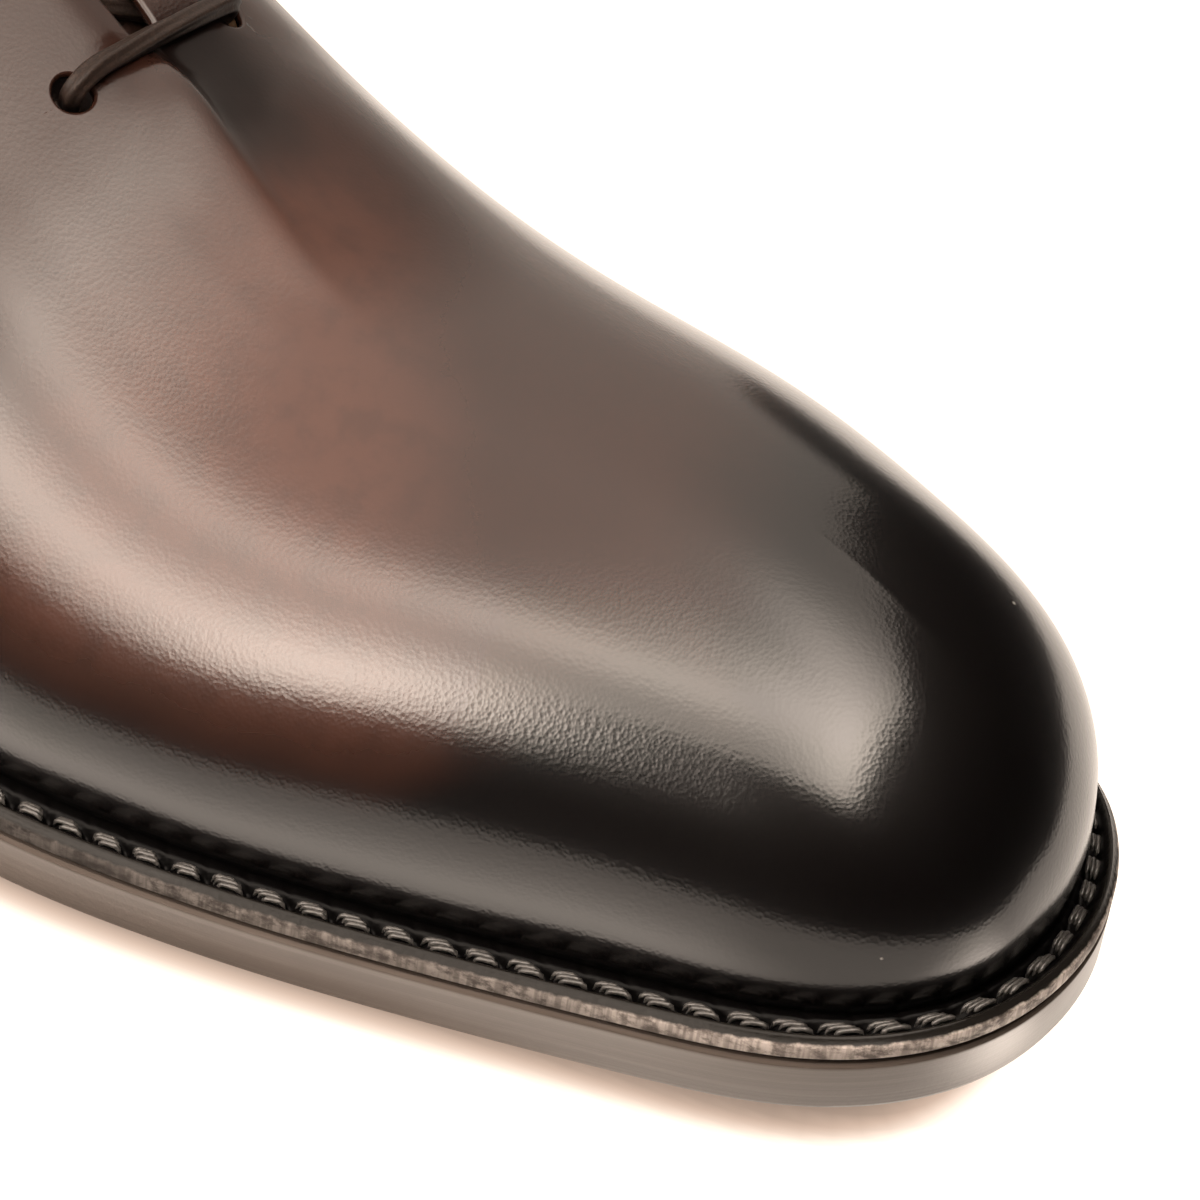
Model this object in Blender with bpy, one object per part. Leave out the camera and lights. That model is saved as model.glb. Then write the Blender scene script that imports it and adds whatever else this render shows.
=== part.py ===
import math

import bmesh
import bpy
import numpy as np

# Plain-toe oxford, left shoe. The toe points to +X and the inner side of the foot to -Y.
# Sizes are millimetres. X runs from the heel's back until a mesh is written.
MM = 0.001
GAP = 0.3
MERGE = 0.00002

# Bottom
SOLE_THICK = 5.4
SOLE_CHAMFER = 0.5
WELT_THICK = 2.5
WELT_BEVEL = 0.7
WELT_UNDER = 2.3
TREAD_BACK = 192.0
TREAD_FRONT = 226.0
SEAT_FRONT = 66.0
SEAT_HEIGHT = 24.3
TOE_SPRING = 10.0

# Heel
HEEL_BREAST = 70.0
BREAST_HOLLOW = 4.0
TOP_PIECE = 6.0
HEEL_INSET_TOP = 0.8
HEEL_INSET_LOW = 2.6
HEEL_WAIST = 0.3
TOP_PIECE_CHAMFER = 0.6

# Upper and inside
WALL = 2.0
INSOLE_RISE = 2.2
SLIT_BASE = 181.5
SLIT_ROUND = 2.5
SLIT_HALF = 2.1
SLIT_SPREAD = 0.045
COLLAR_SHARE = 0.45
RIDGE_FROM = 0.42
RIDGE_FULL = 0.48
FLAT_PITCH = 20.0
STEEP_PITCH = 70.0
STEEP_CROWN = 0.8
TONGUE_THICK = 1.8
TONGUE_HALF = 20.0
TONGUE_HALF_TOP = 14.0
TONGUE_ROOM = 3.6
TONGUE_UNDER = 0.065

# Lacing
EYELET_ROWS = 5
EYELET_FIRST = 0.5
EYELET_LAST = 51.0
EYELET_HALF = 12.1
EYELET_RADIUS = 2.2
EYELET_SIDES = 12
PUNCH_PAST = 1.5
LACE_RADIUS = 1.1
LACE_CLEAR = 0.5
LACE_SIDES = 8
LACE_STEP = 2.6
LACE_DROP = 0.45
LACE_SHOULDER = 2.6
RUN_HALF = 16.6
RUN_SHORT = 5.0

# Plan of the sole's edge, one row for each section
HEEL_BACK = (0.0, 1.0)
TOE_TIP = (298.2, -4.5)
EDGE_COLUMNS = ("x", "inner", "outer")
EDGE_ROWS = [
    (9.0, -21.0, 22.0),
    (40.0, -31.5, 33.0),
    (85.0, -31.5, 36.5),
    (125.0, -33.5, 42.5),
    (165.0, -40.6, 50.4),
    (205.0, -43.3, 53.8),
    (240.0, -36.4, 49.5),
    (268.0, -30.6, 37.0),
    (287.0, -25.2, 23.9),
    (294.8, -17.9, 11.3),
]

# How far the welt stands out from the upper's lower edge
REACH_COLUMNS = ("x", "reach")
REACH_ROWS = [(0.0, 3.0), (60.0, 3.6), (110.0, 4.2), (160.0, 4.4), (270.0, 4.4), (298.2, 4.0)]

# Upper sections. Share runs along the lower edge from heel to toe. The top is the collar,
# then the throat's edge, then the ridge. Pitch and lean are degrees at the top and the foot
# of a section, and wall and crown are its fullness there.
LAST_COLUMNS = ("share", "top_x", "top_half", "top_z", "pitch", "lean", "wall", "crown")
LAST_ROWS = [
    (0.00, 7.0, 0.0, 97.0, 78.0, 12.0, 0.40, 0.40),
    (0.07, 12.0, 16.0, 96.0, 80.0, 12.0, 0.40, 0.40),
    (0.14, 26.0, 24.0, 92.0, 82.0, 10.0, 0.40, 0.40),
    (0.22, 48.0, 28.0, 86.0, 84.0, 8.0, 0.40, 0.40),
    (0.31, 78.0, 29.0, 84.0, 80.0, 8.0, 0.40, 0.40),
    (0.39, 103.0, 20.0, 95.0, 55.0, 8.0, 0.45, 0.45),
    (0.45, 121.0, 5.0, 108.0, 28.0, 8.0, 0.48, 0.50),
    (0.52, 147.0, 0.8, 92.7, 12.0, 10.0, 0.49, 0.52),
    (0.60, 182.0, 0.0, 66.2, 0.0, 12.0, 0.48, 0.54),
    (0.70, 212.0, 0.0, 51.4, 0.0, 12.0, 0.50, 0.57),
    (0.80, 236.0, 0.0, 48.7, 0.0, 11.0, 0.56, 0.63),
    (0.90, 252.0, 0.0, 47.8, 0.0, 13.0, 0.57, 0.66),
    (1.00, 260.0, 0.0, 46.9, 0.0, 13.0, 0.58, 0.68),
]

# Centre line of the top, across the shoe
CENTRE_COLUMNS = ("x", "y")
CENTRE_ROWS = [
    (0.0, 0.0),
    (60.0, 1.0),
    (130.0, 3.0),
    (182.0, 4.0),
    (220.0, 4.0),
    (260.0, 0.5),
]

# Tongue above the throat: how far back and up each row lies, and its share of the width
TONGUE_END_ROWS = [
    (20.5, 15.0, 0.60),
    (19.0, 12.8, 0.84),
    (16.0, 8.6, 0.94),
    (12.0, 3.6, 0.94),
    (8.5, 0.4, 0.95),
]

# Piece colours: red, green, blue, roughness
LOOKS = {
    "upper": (0.16, 0.09, 0.07, 0.30),
    "tongue": (0.12, 0.07, 0.06, 0.45),
    "insole": (0.42, 0.27, 0.16, 0.60),
    "welt": (0.03, 0.025, 0.02, 0.40),
    "outsole": (0.22, 0.18, 0.15, 0.55),
    "heel_stack": (0.09, 0.06, 0.05, 0.40),
    "top_piece": (0.03, 0.03, 0.03, 0.70),
    "lace": (0.02, 0.015, 0.012, 0.50),
}


def columns(names, rows):
    """Table rows as one array for each named column."""
    return dict(zip(names, np.array(rows, dtype=float).T))


def natural_spline(xs, ys):
    """Smooth curve through table values, held at its ends."""
    count = len(xs)
    step = np.diff(xs)
    matrix = np.eye(count)
    right = np.zeros(count)
    for i in range(1, count - 1):
        matrix[i, i - 1:i + 2] = (step[i - 1], 2.0 * (step[i - 1] + step[i]), step[i])
        right[i] = 6.0 * ((ys[i + 1] - ys[i]) / step[i] - (ys[i] - ys[i - 1]) / step[i - 1])
    bend = np.linalg.solve(matrix, right)

    def curve(x):
        x = np.clip(np.asarray(x, dtype=float), xs[0], xs[-1])
        i = np.clip(np.searchsorted(xs, x) - 1, 0, count - 2)
        low = x - xs[i]
        high = xs[i + 1] - x
        cubic = (bend[i] * high ** 3 + bend[i + 1] * low ** 3) / (6.0 * step[i])
        left = (ys[i] / step[i] - bend[i] * step[i] / 6.0) * high
        return cubic + left + (ys[i + 1] / step[i] - bend[i + 1] * step[i] / 6.0) * low

    return curve


def closed_spline(points, count):
    """Evenly stepped points on a smooth closed curve through plan points."""
    number = len(points)
    ring = np.vstack([points, points[:1]])
    step = np.linalg.norm(np.diff(ring, axis=0), axis=1)
    matrix = np.zeros((number, number))
    right = np.zeros((number, 2))
    for i in range(number):
        matrix[i, i - 1] += step[i - 1]
        matrix[i, i] += 2.0 * (step[i - 1] + step[i])
        matrix[i, (i + 1) % number] += step[i]
        after = (ring[i + 1] - ring[i]) / step[i]
        before = (ring[i] - ring[i - 1 if i else number - 1]) / step[i - 1]
        right[i] = 6.0 * (after - before)
    bend = np.linalg.solve(matrix, right)
    bend = np.vstack([bend, bend[:1]])
    start = np.concatenate([[0.0], np.cumsum(step)])
    run = np.linspace(0.0, start[-1], count, endpoint=False)
    i = np.clip(np.searchsorted(start, run, side="right") - 1, 0, number - 1)
    low = (run - start[i])[:, None]
    size = step[i][:, None]
    high = size - low
    cubic = (bend[i] * high ** 3 + bend[i + 1] * low ** 3) / (6.0 * size)
    left = (ring[i] / size - bend[i] * size / 6.0) * high
    return cubic + left + (ring[i + 1] / size - bend[i + 1] * size / 6.0) * low


def run_along(points):
    """Distance along a line at each of its points."""
    return np.concatenate([[0.0], np.cumsum(np.linalg.norm(np.diff(points, axis=0), axis=1))])


def resample(points, run):
    """Points at given distances along a line."""
    own = run_along(points)
    return np.stack([np.interp(run, own, points[:, k]) for k in range(points.shape[1])], axis=1)


EDGE = columns(EDGE_COLUMNS, EDGE_ROWS)
REACH = columns(REACH_COLUMNS, REACH_ROWS)
LAST = columns(LAST_COLUMNS, LAST_ROWS)
CENTRE = columns(CENTRE_COLUMNS, CENTRE_ROWS)
LAST_CURVES = {name: natural_spline(LAST["share"], LAST[name]) for name in LAST_COLUMNS[1:]}
centre_line = natural_spline(CENTRE["x"], CENTRE["y"])
EDGE_POINTS = np.vstack([
    [HEEL_BACK],
    np.stack([EDGE["x"], EDGE["inner"]], axis=1),
    [TOE_TIP],
    np.stack([EDGE["x"], EDGE["outer"]], axis=1)[::-1],
])
EDGE_LOOP = closed_spline(EDGE_POINTS, 3000)
THROAT_SHARES = np.linspace(0.5, 0.7, 401)
SLIT_SHARE = float(np.interp(SLIT_BASE, LAST_CURVES["top_x"](THROAT_SHARES), THROAT_SHARES))


def sole_bottom(x):
    """Height of the outsole's underside above the floor."""
    back = np.clip((TREAD_BACK - x) / (TREAD_BACK - SEAT_FRONT), 0.0, 1.0)
    front = np.clip(x - TREAD_FRONT, 0.0, None) / (TOE_TIP[0] - TREAD_FRONT)
    return SEAT_HEIGHT * back ** 2 * (3.0 - 2.0 * back) + TOE_SPRING * front ** 2


def welt_low(x):
    return sole_bottom(x) + SOLE_THICK + GAP


def welt_top(x):
    return welt_low(x) + WELT_THICK


def upper_low(x):
    return welt_top(x) + GAP


def welt_reach(x):
    return np.interp(x, REACH["x"], REACH["reach"])


def inset_loop(inset):
    """Sole edge moved inward, by a distance that may change along the shoe."""
    ahead = np.roll(EDGE_LOOP, -1, axis=0) - np.roll(EDGE_LOOP, 1, axis=0)
    ahead /= np.linalg.norm(ahead, axis=1)[:, None]
    inward = np.stack([-ahead[:, 1], ahead[:, 0]], axis=1)
    return EDGE_LOOP + inward * (inset(EDGE_LOOP[:, 0]) + np.zeros(len(EDGE_LOOP)))[:, None]


def half_line(side, inset, shares):
    """Plan points on one side from heel to toe."""
    loop = inset_loop(inset)
    loop = np.roll(loop, -int(np.argmin(loop[:, 0])), axis=0)
    tip = int(np.argmax(loop[:, 0]))
    half = loop[:tip + 1] if side < 0 else np.vstack([loop[tip:], loop[:1]])[::-1]
    return resample(half, shares * run_along(half)[-1])


def slit_half(x):
    """Half width of the throat slit, round at its base."""
    behind = np.clip(SLIT_BASE - x, 0.0, None)
    near_base = np.clip(behind / SLIT_ROUND, 0.0, 1.0)
    return (SLIT_HALF + SLIT_SPREAD * behind) * np.sqrt(1.0 - (1.0 - near_base) ** 2)


def upper_grid(side, shares, levels):
    """Outer face of the upper on one side: sections along the shoe, levels up each one."""
    foot = half_line(side, welt_reach, shares)
    last = {name: curve(shares) for name, curve in LAST_CURVES.items()}
    half = np.where(shares < SLIT_SHARE, np.clip(last["top_half"], 0.0, None), 0.0)
    low = np.column_stack([foot, upper_low(foot[:, 0])])
    top = np.column_stack([last["top_x"], centre_line(last["top_x"]) + side * half, last["top_z"]])
    reach = (top - low)[:, :2]
    width = np.linalg.norm(reach, axis=1)
    toward = reach / width[:, None]
    height = top[:, 2] - low[:, 2]
    fine = np.linspace(0.0, 1.0, 801)
    ridge_slope = np.gradient(LAST_CURVES["top_z"](fine), LAST_CURVES["top_x"](fine))
    on_ridge = np.clip((shares - RIDGE_FROM) / (RIDGE_FULL - RIDGE_FROM), 0.0, 1.0)
    slope = np.interp(shares, fine, ridge_slope) * on_ridge
    lean = np.radians(last["lean"])
    pitch = np.radians(last["pitch"])
    rise = np.column_stack([-toward * np.sin(lean)[:, None], np.cos(lean)])
    arrive = np.column_stack([
        toward * np.cos(pitch)[:, None],
        np.sin(pitch) + toward[:, 0] * slope * np.cos(pitch),
    ])
    upright = np.clip((last["pitch"] - FLAT_PITCH) / (STEEP_PITCH - FLAT_PITCH), 0.0, 1.0)
    crown = last["crown"] * (width * (1.0 - upright) + STEEP_CROWN * height * upright)
    wall = last["wall"] * height
    knots = [low, low + rise * wall[:, None], top - arrive * crown[:, None], top]
    near_top = np.linspace(0.7, 1.0, 601)
    sections = section_points(knots, np.tile(near_top, (len(shares), 1)))
    off = np.abs(sections[:, :, 1] - centre_line(sections[:, :, 0]))
    clear = (off >= slit_half(sections[:, :, 0]) - 1e-9) | (shares < COLLAR_SHARE)[:, None]
    reach_up = np.array([near_top[np.flatnonzero(line).max()] for line in clear])
    return section_points(knots, reach_up[:, None] * np.asarray(levels)[None, :])


def section_points(knots, levels):
    """Points on the curved sections at given levels."""
    v = levels[:, :, None]
    weights = [(1 - v) ** 3, 3 * (1 - v) ** 2 * v, 3 * (1 - v) * v ** 2, v ** 3]
    return sum(weight * knot[:, None, :] for weight, knot in zip(weights, knots))


def grid_normals(grid, side):
    """Outward directions on a grid of one side."""
    normal = -side * np.cross(np.gradient(grid, axis=0), np.gradient(grid, axis=1))
    return normal / np.linalg.norm(normal, axis=2)[:, :, None]


FINE_SHARES = np.linspace(0.40, 0.72, 321)
FINE_LEVELS = np.linspace(0.5, 1.0, 161)
FINE = {side: upper_grid(side, FINE_SHARES, FINE_LEVELS) for side in (-1, 1)}
FINE_NORMALS = {side: grid_normals(FINE[side], side) for side in (-1, 1)}


def on_side(side, x, off):
    """Point and outward direction of the upper near a place in plan."""
    grid = FINE[side].reshape(-1, 3)
    place = np.array([x, float(centre_line(x)) + off])
    away = np.linalg.norm(grid[:, :2] - place, axis=1)
    close = np.argsort(away)[:6]
    weight = 1.0 / (away[close] + 0.05) ** 2
    weight /= weight.sum()
    normal = weight @ FINE_NORMALS[side].reshape(-1, 3)[close]
    point = weight @ grid[close]
    return np.array([place[0], place[1], point[2]]), normal / np.linalg.norm(normal)


def on_throat(x, off, lift):
    """Place over the throat, off its centre line and lifted from the upper's outer face."""
    edge = SLIT_HALF + SLIT_SPREAD * max(SLIT_BASE - x, 0.0) + 0.3
    if abs(off) >= edge:
        point, normal = on_side(-1 if off < 0 else 1, x, off)
        return point + normal * lift
    inner, inner_normal = on_side(-1, x, -edge)
    outer, outer_normal = on_side(1, x, edge)
    share = (off + edge) / (2.0 * edge)
    point = inner * (1.0 - share) + outer * share
    normal = inner_normal * (1.0 - share) + outer_normal * share
    return point + normal / np.linalg.norm(normal) * lift


def eyelet_x(row):
    """Place of a row of eyelets along the shoe, counted from the throat's base."""
    return SLIT_BASE - EYELET_FIRST - row * (EYELET_LAST - EYELET_FIRST) / (EYELET_ROWS - 1)


SLIT_SHARES_BACK = np.array([0.010, 0.006, 0.003, 0.0015])
SHARES = np.concatenate([
    np.linspace(0.0, COLLAR_SHARE, 17)[:-1],
    np.linspace(COLLAR_SHARE, SLIT_SHARE - SLIT_SHARES_BACK[0], 7)[:-1],
    SLIT_SHARE - SLIT_SHARES_BACK,
    np.linspace(SLIT_SHARE, 1.0, 19),
])
LEVELS = np.linspace(0.0, 1.0, 12)
UPPER = {side: upper_grid(side, SHARES, LEVELS) for side in (-1, 1)}
ALL_PLAN = np.vstack([EDGE_LOOP, UPPER[-1].reshape(-1, 3)[:, :2], UPPER[1].reshape(-1, 3)[:, :2]])
ORIGIN = np.append((ALL_PLAN.min(axis=0) + ALL_PLAN.max(axis=0)) / 2.0, 0.0)


def new_material(name):
    red, green, blue, rough = LOOKS[name]
    material = bpy.data.materials.new(name)
    material.use_nodes = True
    shader = material.node_tree.nodes["Principled BSDF"]
    shader.inputs["Base Color"].default_value = (red, green, blue, 1.0)
    shader.inputs["Roughness"].default_value = rough
    return material


def new_object(name, mesh_data):
    """Object from a finished bmesh, in metres about the shoe's origin."""
    for vert in mesh_data.verts:
        vert.co = (np.array(vert.co) - ORIGIN) * MM
    bmesh.ops.remove_doubles(mesh_data, verts=mesh_data.verts, dist=MERGE)
    bmesh.ops.recalc_face_normals(mesh_data, faces=mesh_data.faces)
    mesh = bpy.data.meshes.new(name)
    mesh_data.to_mesh(mesh)
    mesh_data.free()
    piece = bpy.data.objects.new(name, mesh)
    bpy.context.scene.collection.objects.link(piece)
    if name in LOOKS:
        mesh.materials.append(new_material(name))
    return piece


def add_sheet(mesh_data, grid, turned):
    """Faces over a grid of points."""
    rows, across = grid.shape[:2]
    verts = [[mesh_data.verts.new(point) for point in line] for line in grid]
    for i in range(rows - 1):
        for j in range(across - 1):
            ring = [verts[i][j], verts[i + 1][j], verts[i + 1][j + 1], verts[i][j + 1]]
            mesh_data.faces.new(ring[::-1] if turned else ring)


def weld(mesh_data, distance):
    bmesh.ops.remove_doubles(mesh_data, verts=mesh_data.verts, dist=distance)


def make_upper():
    """Hollow one-piece upper: outer face, inner face and the rims between them."""
    shell = bmesh.new()
    for side in (-1, 1):
        add_sheet(shell, UPPER[side], side > 0)
    weld(shell, 0.01)
    shell.normal_update()
    outer_faces = list(shell.faces)
    rims = [edge for edge in shell.edges if len(edge.link_faces) == 1]
    inner = {}
    for vert in list(shell.verts):
        place = np.array(vert.co)
        normal = np.array(vert.normal)
        if abs(place[2] - upper_low(place[0])) < 0.01:
            normal[2] = 0.0
            place = place - normal / np.linalg.norm(normal) * WALL
            place[2] = upper_low(place[0])
        else:
            place = place - normal * WALL
        inner[vert] = shell.verts.new(place)
    for face in outer_faces:
        shell.faces.new([inner[vert] for vert in reversed(face.verts)])
    for edge in rims:
        first, second = edge.verts
        shell.faces.new([first, second, inner[second], inner[first]])
    upper = new_object("upper", shell)
    cutter = make_eyelet_cutter()
    holes = upper.modifiers.new("eyelets", "BOOLEAN")
    holes.operation = "DIFFERENCE"
    holes.solver = "EXACT"
    holes.object = cutter
    return upper


def make_eyelet_cutter():
    """Round punches through the upper at each eyelet."""
    punches = bmesh.new()
    for row in range(EYELET_ROWS):
        for side in (-1, 1):
            point, normal = on_side(side, eyelet_x(row), side * EYELET_HALF)
            across = np.cross(normal, (1.0, 0.0, 0.0))
            across /= np.linalg.norm(across)
            along = np.cross(across, normal)
            rings = []
            for depth in (-WALL - PUNCH_PAST, PUNCH_PAST):
                ring = []
                for angle in np.linspace(0.0, math.tau, EYELET_SIDES, endpoint=False):
                    turn = across * math.cos(angle) + along * math.sin(angle)
                    ring.append(punches.verts.new(point + normal * depth + turn * EYELET_RADIUS))
                rings.append(ring)
            low, high = rings
            punches.faces.new(low)
            punches.faces.new(high[::-1])
            for i in range(EYELET_SIDES):
                punches.faces.new([low[i], low[i - 1], high[i - 1], high[i]])
    cutter = new_object("eyelet_cutter", punches)
    cutter.hide_render = True
    cutter.display_type = "WIRE"
    return cutter


def make_tongue():
    """Tongue under the throat, seated under the vamp at its front end."""
    shares = np.linspace(COLLAR_SHARE, SLIT_SHARE + TONGUE_UNDER, 15)
    halves = np.interp(shares, [COLLAR_SHARE, SLIT_SHARE], [TONGUE_HALF_TOP, TONGUE_HALF])
    ease = np.clip((SLIT_SHARE + 0.7 * TONGUE_UNDER - shares) / (0.6 * TONGUE_UNDER), 0.0, 1.0)
    room = GAP + (TONGUE_ROOM - GAP) * ease ** 2 * (3.0 - 2.0 * ease)
    fine = np.linspace(0.2, 1.0, 121)
    tops = {}
    lows = {}
    normals = {}
    for side in (-1, 1):
        grid = upper_grid(side, shares, fine)
        normal = grid_normals(grid, side)
        points = []
        turns = []
        for k in range(len(shares)):
            line = grid[k][::-1]
            run = run_along(line)
            away = np.linspace(0.0, halves[k], 6)
            points.append(np.stack([np.interp(away, run, line[:, c]) for c in range(3)], axis=1))
            turn = normal[k][::-1]
            turns.append(np.stack([np.interp(away, run, turn[:, c]) for c in range(3)], axis=1))
        tops[side] = np.array(points)
        normals[side] = np.array(turns)
    closed = shares >= SLIT_SHARE
    middle = normals[-1][closed, 0] + normals[1][closed, 0]
    middle /= np.linalg.norm(middle, axis=1)[:, None]
    for side in (-1, 1):
        normals[side][closed, 0] = middle
        depth = (WALL + room)[:, None, None]
        lows[side] = tops[side] - normals[side] * (depth + TONGUE_THICK)
        tops[side] = tops[side] - normals[side] * depth
    top = np.concatenate([tops[-1][:, ::-1], tops[1]], axis=1)
    low = np.concatenate([lows[-1][:, ::-1], lows[1]], axis=1)
    heart = top[0].mean(axis=0)
    end_top = []
    end_low = []
    for back, up, narrow in TONGUE_END_ROWS:
        shift = np.array([-back, 0.0, up])
        squeeze = np.array([1.0, narrow, narrow])
        slim = heart + (top[0] - heart) * squeeze + shift
        end_top.append(slim)
        end_low.append(slim + low[0] - top[0])
    sheet = bmesh.new()
    add_closed_sheet(sheet, np.concatenate([end_top, top]), np.concatenate([end_low, low]))
    weld(sheet, 0.02)
    return new_object("tongue", sheet)


def add_closed_sheet(mesh_data, top, low):
    """Closed sheet between an upper and a lower grid."""
    add_sheet(mesh_data, top, False)
    add_sheet(mesh_data, low, True)
    add_sheet(mesh_data, np.stack([top[0], low[0]]), False)
    add_sheet(mesh_data, np.stack([low[-1], top[-1]]), False)
    add_sheet(mesh_data, np.stack([top[:, 0], low[:, 0]]), True)
    add_sheet(mesh_data, np.stack([low[:, -1], top[:, -1]]), True)


def plate_rows(inset, shares, across):
    """Plan rows across the shoe between its two edges."""
    inner = half_line(-1, inset, shares)
    outer = half_line(1, inset, shares)
    step = np.linspace(0.0, 1.0, across + 1)[None, :, None]
    return inner[:, None, :] * (1.0 - step) + outer[:, None, :] * step


def make_plate(name, layers, rows_for):
    """Solid from stacked layers, each an inset of the outline and a height over the plan."""
    plate = bmesh.new()
    grids = []
    for inset, height in layers:
        plan = rows_for(inset)
        grids.append(np.concatenate([plan, height(plan[:, :, 0])[:, :, None]], axis=2))
    add_sheet(plate, grids[0], True)
    add_sheet(plate, grids[-1], False)
    for low, high in zip(grids[:-1], grids[1:]):
        add_sheet(plate, np.stack([low[:, 0], high[:, 0]]), False)
        add_sheet(plate, np.stack([high[:, -1], low[:, -1]]), False)
        add_sheet(plate, np.stack([low[0], high[0]]), True)
        add_sheet(plate, np.stack([high[-1], low[-1]]), True)
    weld(plate, 0.01)
    return new_object(name, plate)


def constant(value):
    return lambda x: np.zeros_like(np.asarray(x, dtype=float)) + value


def make_outsole():
    """Outsole with its flat tread, arch, heel seat and toe spring."""
    shares = np.linspace(0.0, 1.0, 65)
    layers = [
        (constant(SOLE_CHAMFER), sole_bottom),
        (constant(0.0), lambda x: sole_bottom(x) + SOLE_CHAMFER),
        (constant(0.0), lambda x: sole_bottom(x) + SOLE_THICK),
    ]
    return make_plate("outsole", layers, lambda inset: plate_rows(inset, shares, 4))


def make_insole():
    """Insole inside the welt and the upper's lower edge."""
    shares = np.linspace(0.0, 1.0, 45)

    def inset(x):
        return welt_reach(x) + WELT_UNDER + GAP

    layers = [
        (inset, lambda x: sole_bottom(x) + SOLE_THICK + GAP),
        (inset, lambda x: upper_low(x) + INSOLE_RISE),
    ]
    return make_plate("insole", layers, lambda way: plate_rows(way, shares, 4))


def heel_rows(inset):
    """Plan rows of the heel, with its hollow breast as the last row."""
    fine = np.linspace(0.0, 0.5, 801)
    sides = []
    for side in (-1, 1):
        line = half_line(side, inset, fine)
        end = float(np.interp(HEEL_BREAST, line[:, 0], fine))
        sides.append(half_line(side, inset, np.linspace(0.0, end, 17)))
    step = np.linspace(0.0, 1.0, 7)[None, :, None]
    rows = sides[0][:, None, :] * (1.0 - step) + sides[1][:, None, :] * step
    bow = (1.0 - (2.0 * step[0, :, 0] - 1.0) ** 2) * BREAST_HOLLOW
    ease = np.linspace(0.0, 1.0, 17)[:, None] ** 3
    rows[:, :, 0] -= bow[None, :] * ease
    return rows


def make_heel_stack():
    """Stacked heel between the top piece and the heel seat."""
    middle = (HEEL_INSET_TOP + HEEL_INSET_LOW) / 2.0 + HEEL_WAIST
    layers = [
        (constant(HEEL_INSET_LOW), constant(TOP_PIECE + GAP)),
        (constant(middle), lambda x: (sole_bottom(x) + TOP_PIECE) / 2.0),
        (constant(HEEL_INSET_TOP), lambda x: sole_bottom(x) - GAP),
    ]
    return make_plate("heel_stack", layers, heel_rows)


def make_top_piece():
    """Rubber piece that the heel stands on."""
    layers = [
        (constant(HEEL_INSET_LOW + TOP_PIECE_CHAMFER), constant(0.0)),
        (constant(HEEL_INSET_LOW), constant(TOP_PIECE_CHAMFER)),
        (constant(HEEL_INSET_LOW), constant(TOP_PIECE)),
    ]
    return make_plate("top_piece", layers, heel_rows)


def make_welt():
    """Welt strip round the upper, bevelled at its outer edge."""
    shares = np.linspace(0.0, 1.0, 65)

    def inside(x):
        return welt_reach(x) + WELT_UNDER

    section = [
        (inside, welt_low),
        (constant(0.0), welt_low),
        (constant(0.0), lambda x: welt_top(x) - WELT_BEVEL),
        (constant(WELT_BEVEL), welt_top),
        (inside, welt_top),
    ]
    strip = bmesh.new()
    loops = []
    for inset, height in section:
        inner = half_line(-1, inset, shares)
        outer = half_line(1, inset, shares)
        plan = np.vstack([inner, outer[::-1]])
        loops.append(np.column_stack([plan, height(plan[:, 0])]))
    loops.append(loops[0])
    add_sheet(strip, np.array(loops), False)
    weld(strip, 0.01)
    return new_object("welt", strip)


def lace_route():
    """Middle of the lace: along the inner side, over each row and across under the next."""
    over = LACE_RADIUS + LACE_CLEAR
    under = -WALL - LACE_RADIUS - LACE_CLEAR
    half = EYELET_HALF
    dive = [
        (half - 0.5, over * 0.75),
        (half, -WALL * 0.1),
        (half, -WALL * 0.75),
        (half - 0.1, under + LACE_DROP),
    ]
    flat = half - LACE_SHOULDER
    route = []
    for x in np.linspace(eyelet_x(EYELET_ROWS - 1), eyelet_x(0) - RUN_SHORT, 9):
        route.append((x, -RUN_HALF, under))
    route.append((eyelet_x(0) - RUN_SHORT * 0.4, (-RUN_HALF * 2.0 - half) / 3.0, under))
    for row in range(EYELET_ROWS):
        x = eyelet_x(row)
        route.extend((x, -off, lift) for off, lift in dive[::-1])
        route.extend((x, off, over) for off in np.linspace(-flat, flat, 7))
        route.extend((x, off, lift) for off, lift in dive)
        if row < EYELET_ROWS - 1:
            after = eyelet_x(row + 1)
            for share in np.linspace(0.14, 0.86, 5):
                route.append((x + (after - x) * share, half - 2.0 * half * share, under))
    return np.array([on_throat(*place) for place in route])


def smooth_line(points, step):
    """Even points on a smooth line through a route."""
    run = run_along(points)
    curves = [natural_spline(run, points[:, k]) for k in range(3)]
    fine = np.linspace(0.0, run[-1], int(run[-1] / 0.2))
    line = np.stack([curve(fine) for curve in curves], axis=1)
    count = int(round(run_along(line)[-1] / step))
    return resample(line, np.linspace(0.0, run_along(line)[-1], count + 1))


def make_lace():
    """Lace as one joined round cord."""
    line = smooth_line(lace_route(), LACE_STEP)
    ahead = np.gradient(line, axis=0)
    ahead /= np.linalg.norm(ahead, axis=1)[:, None]
    cord = bmesh.new()
    across = np.cross(ahead[0], (0.0, 0.0, 1.0))
    rings = []
    for point, way in zip(line, ahead):
        across = across - way * (across @ way)
        across /= np.linalg.norm(across)
        up = np.cross(way, across)
        ring = []
        for angle in np.linspace(0.0, math.tau, LACE_SIDES, endpoint=False):
            turn = across * math.cos(angle) + up * math.sin(angle)
            ring.append(cord.verts.new(point + turn * LACE_RADIUS))
        rings.append(ring)
    for low, high in zip(rings[:-1], rings[1:]):
        for i in range(LACE_SIDES):
            cord.faces.new([low[i - 1], low[i], high[i], high[i - 1]])
    cord.faces.new(rings[0][::-1])
    cord.faces.new(rings[-1])
    return new_object("lace", cord)


for old in list(bpy.data.objects):
    bpy.data.objects.remove(old, do_unlink=True)

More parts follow.
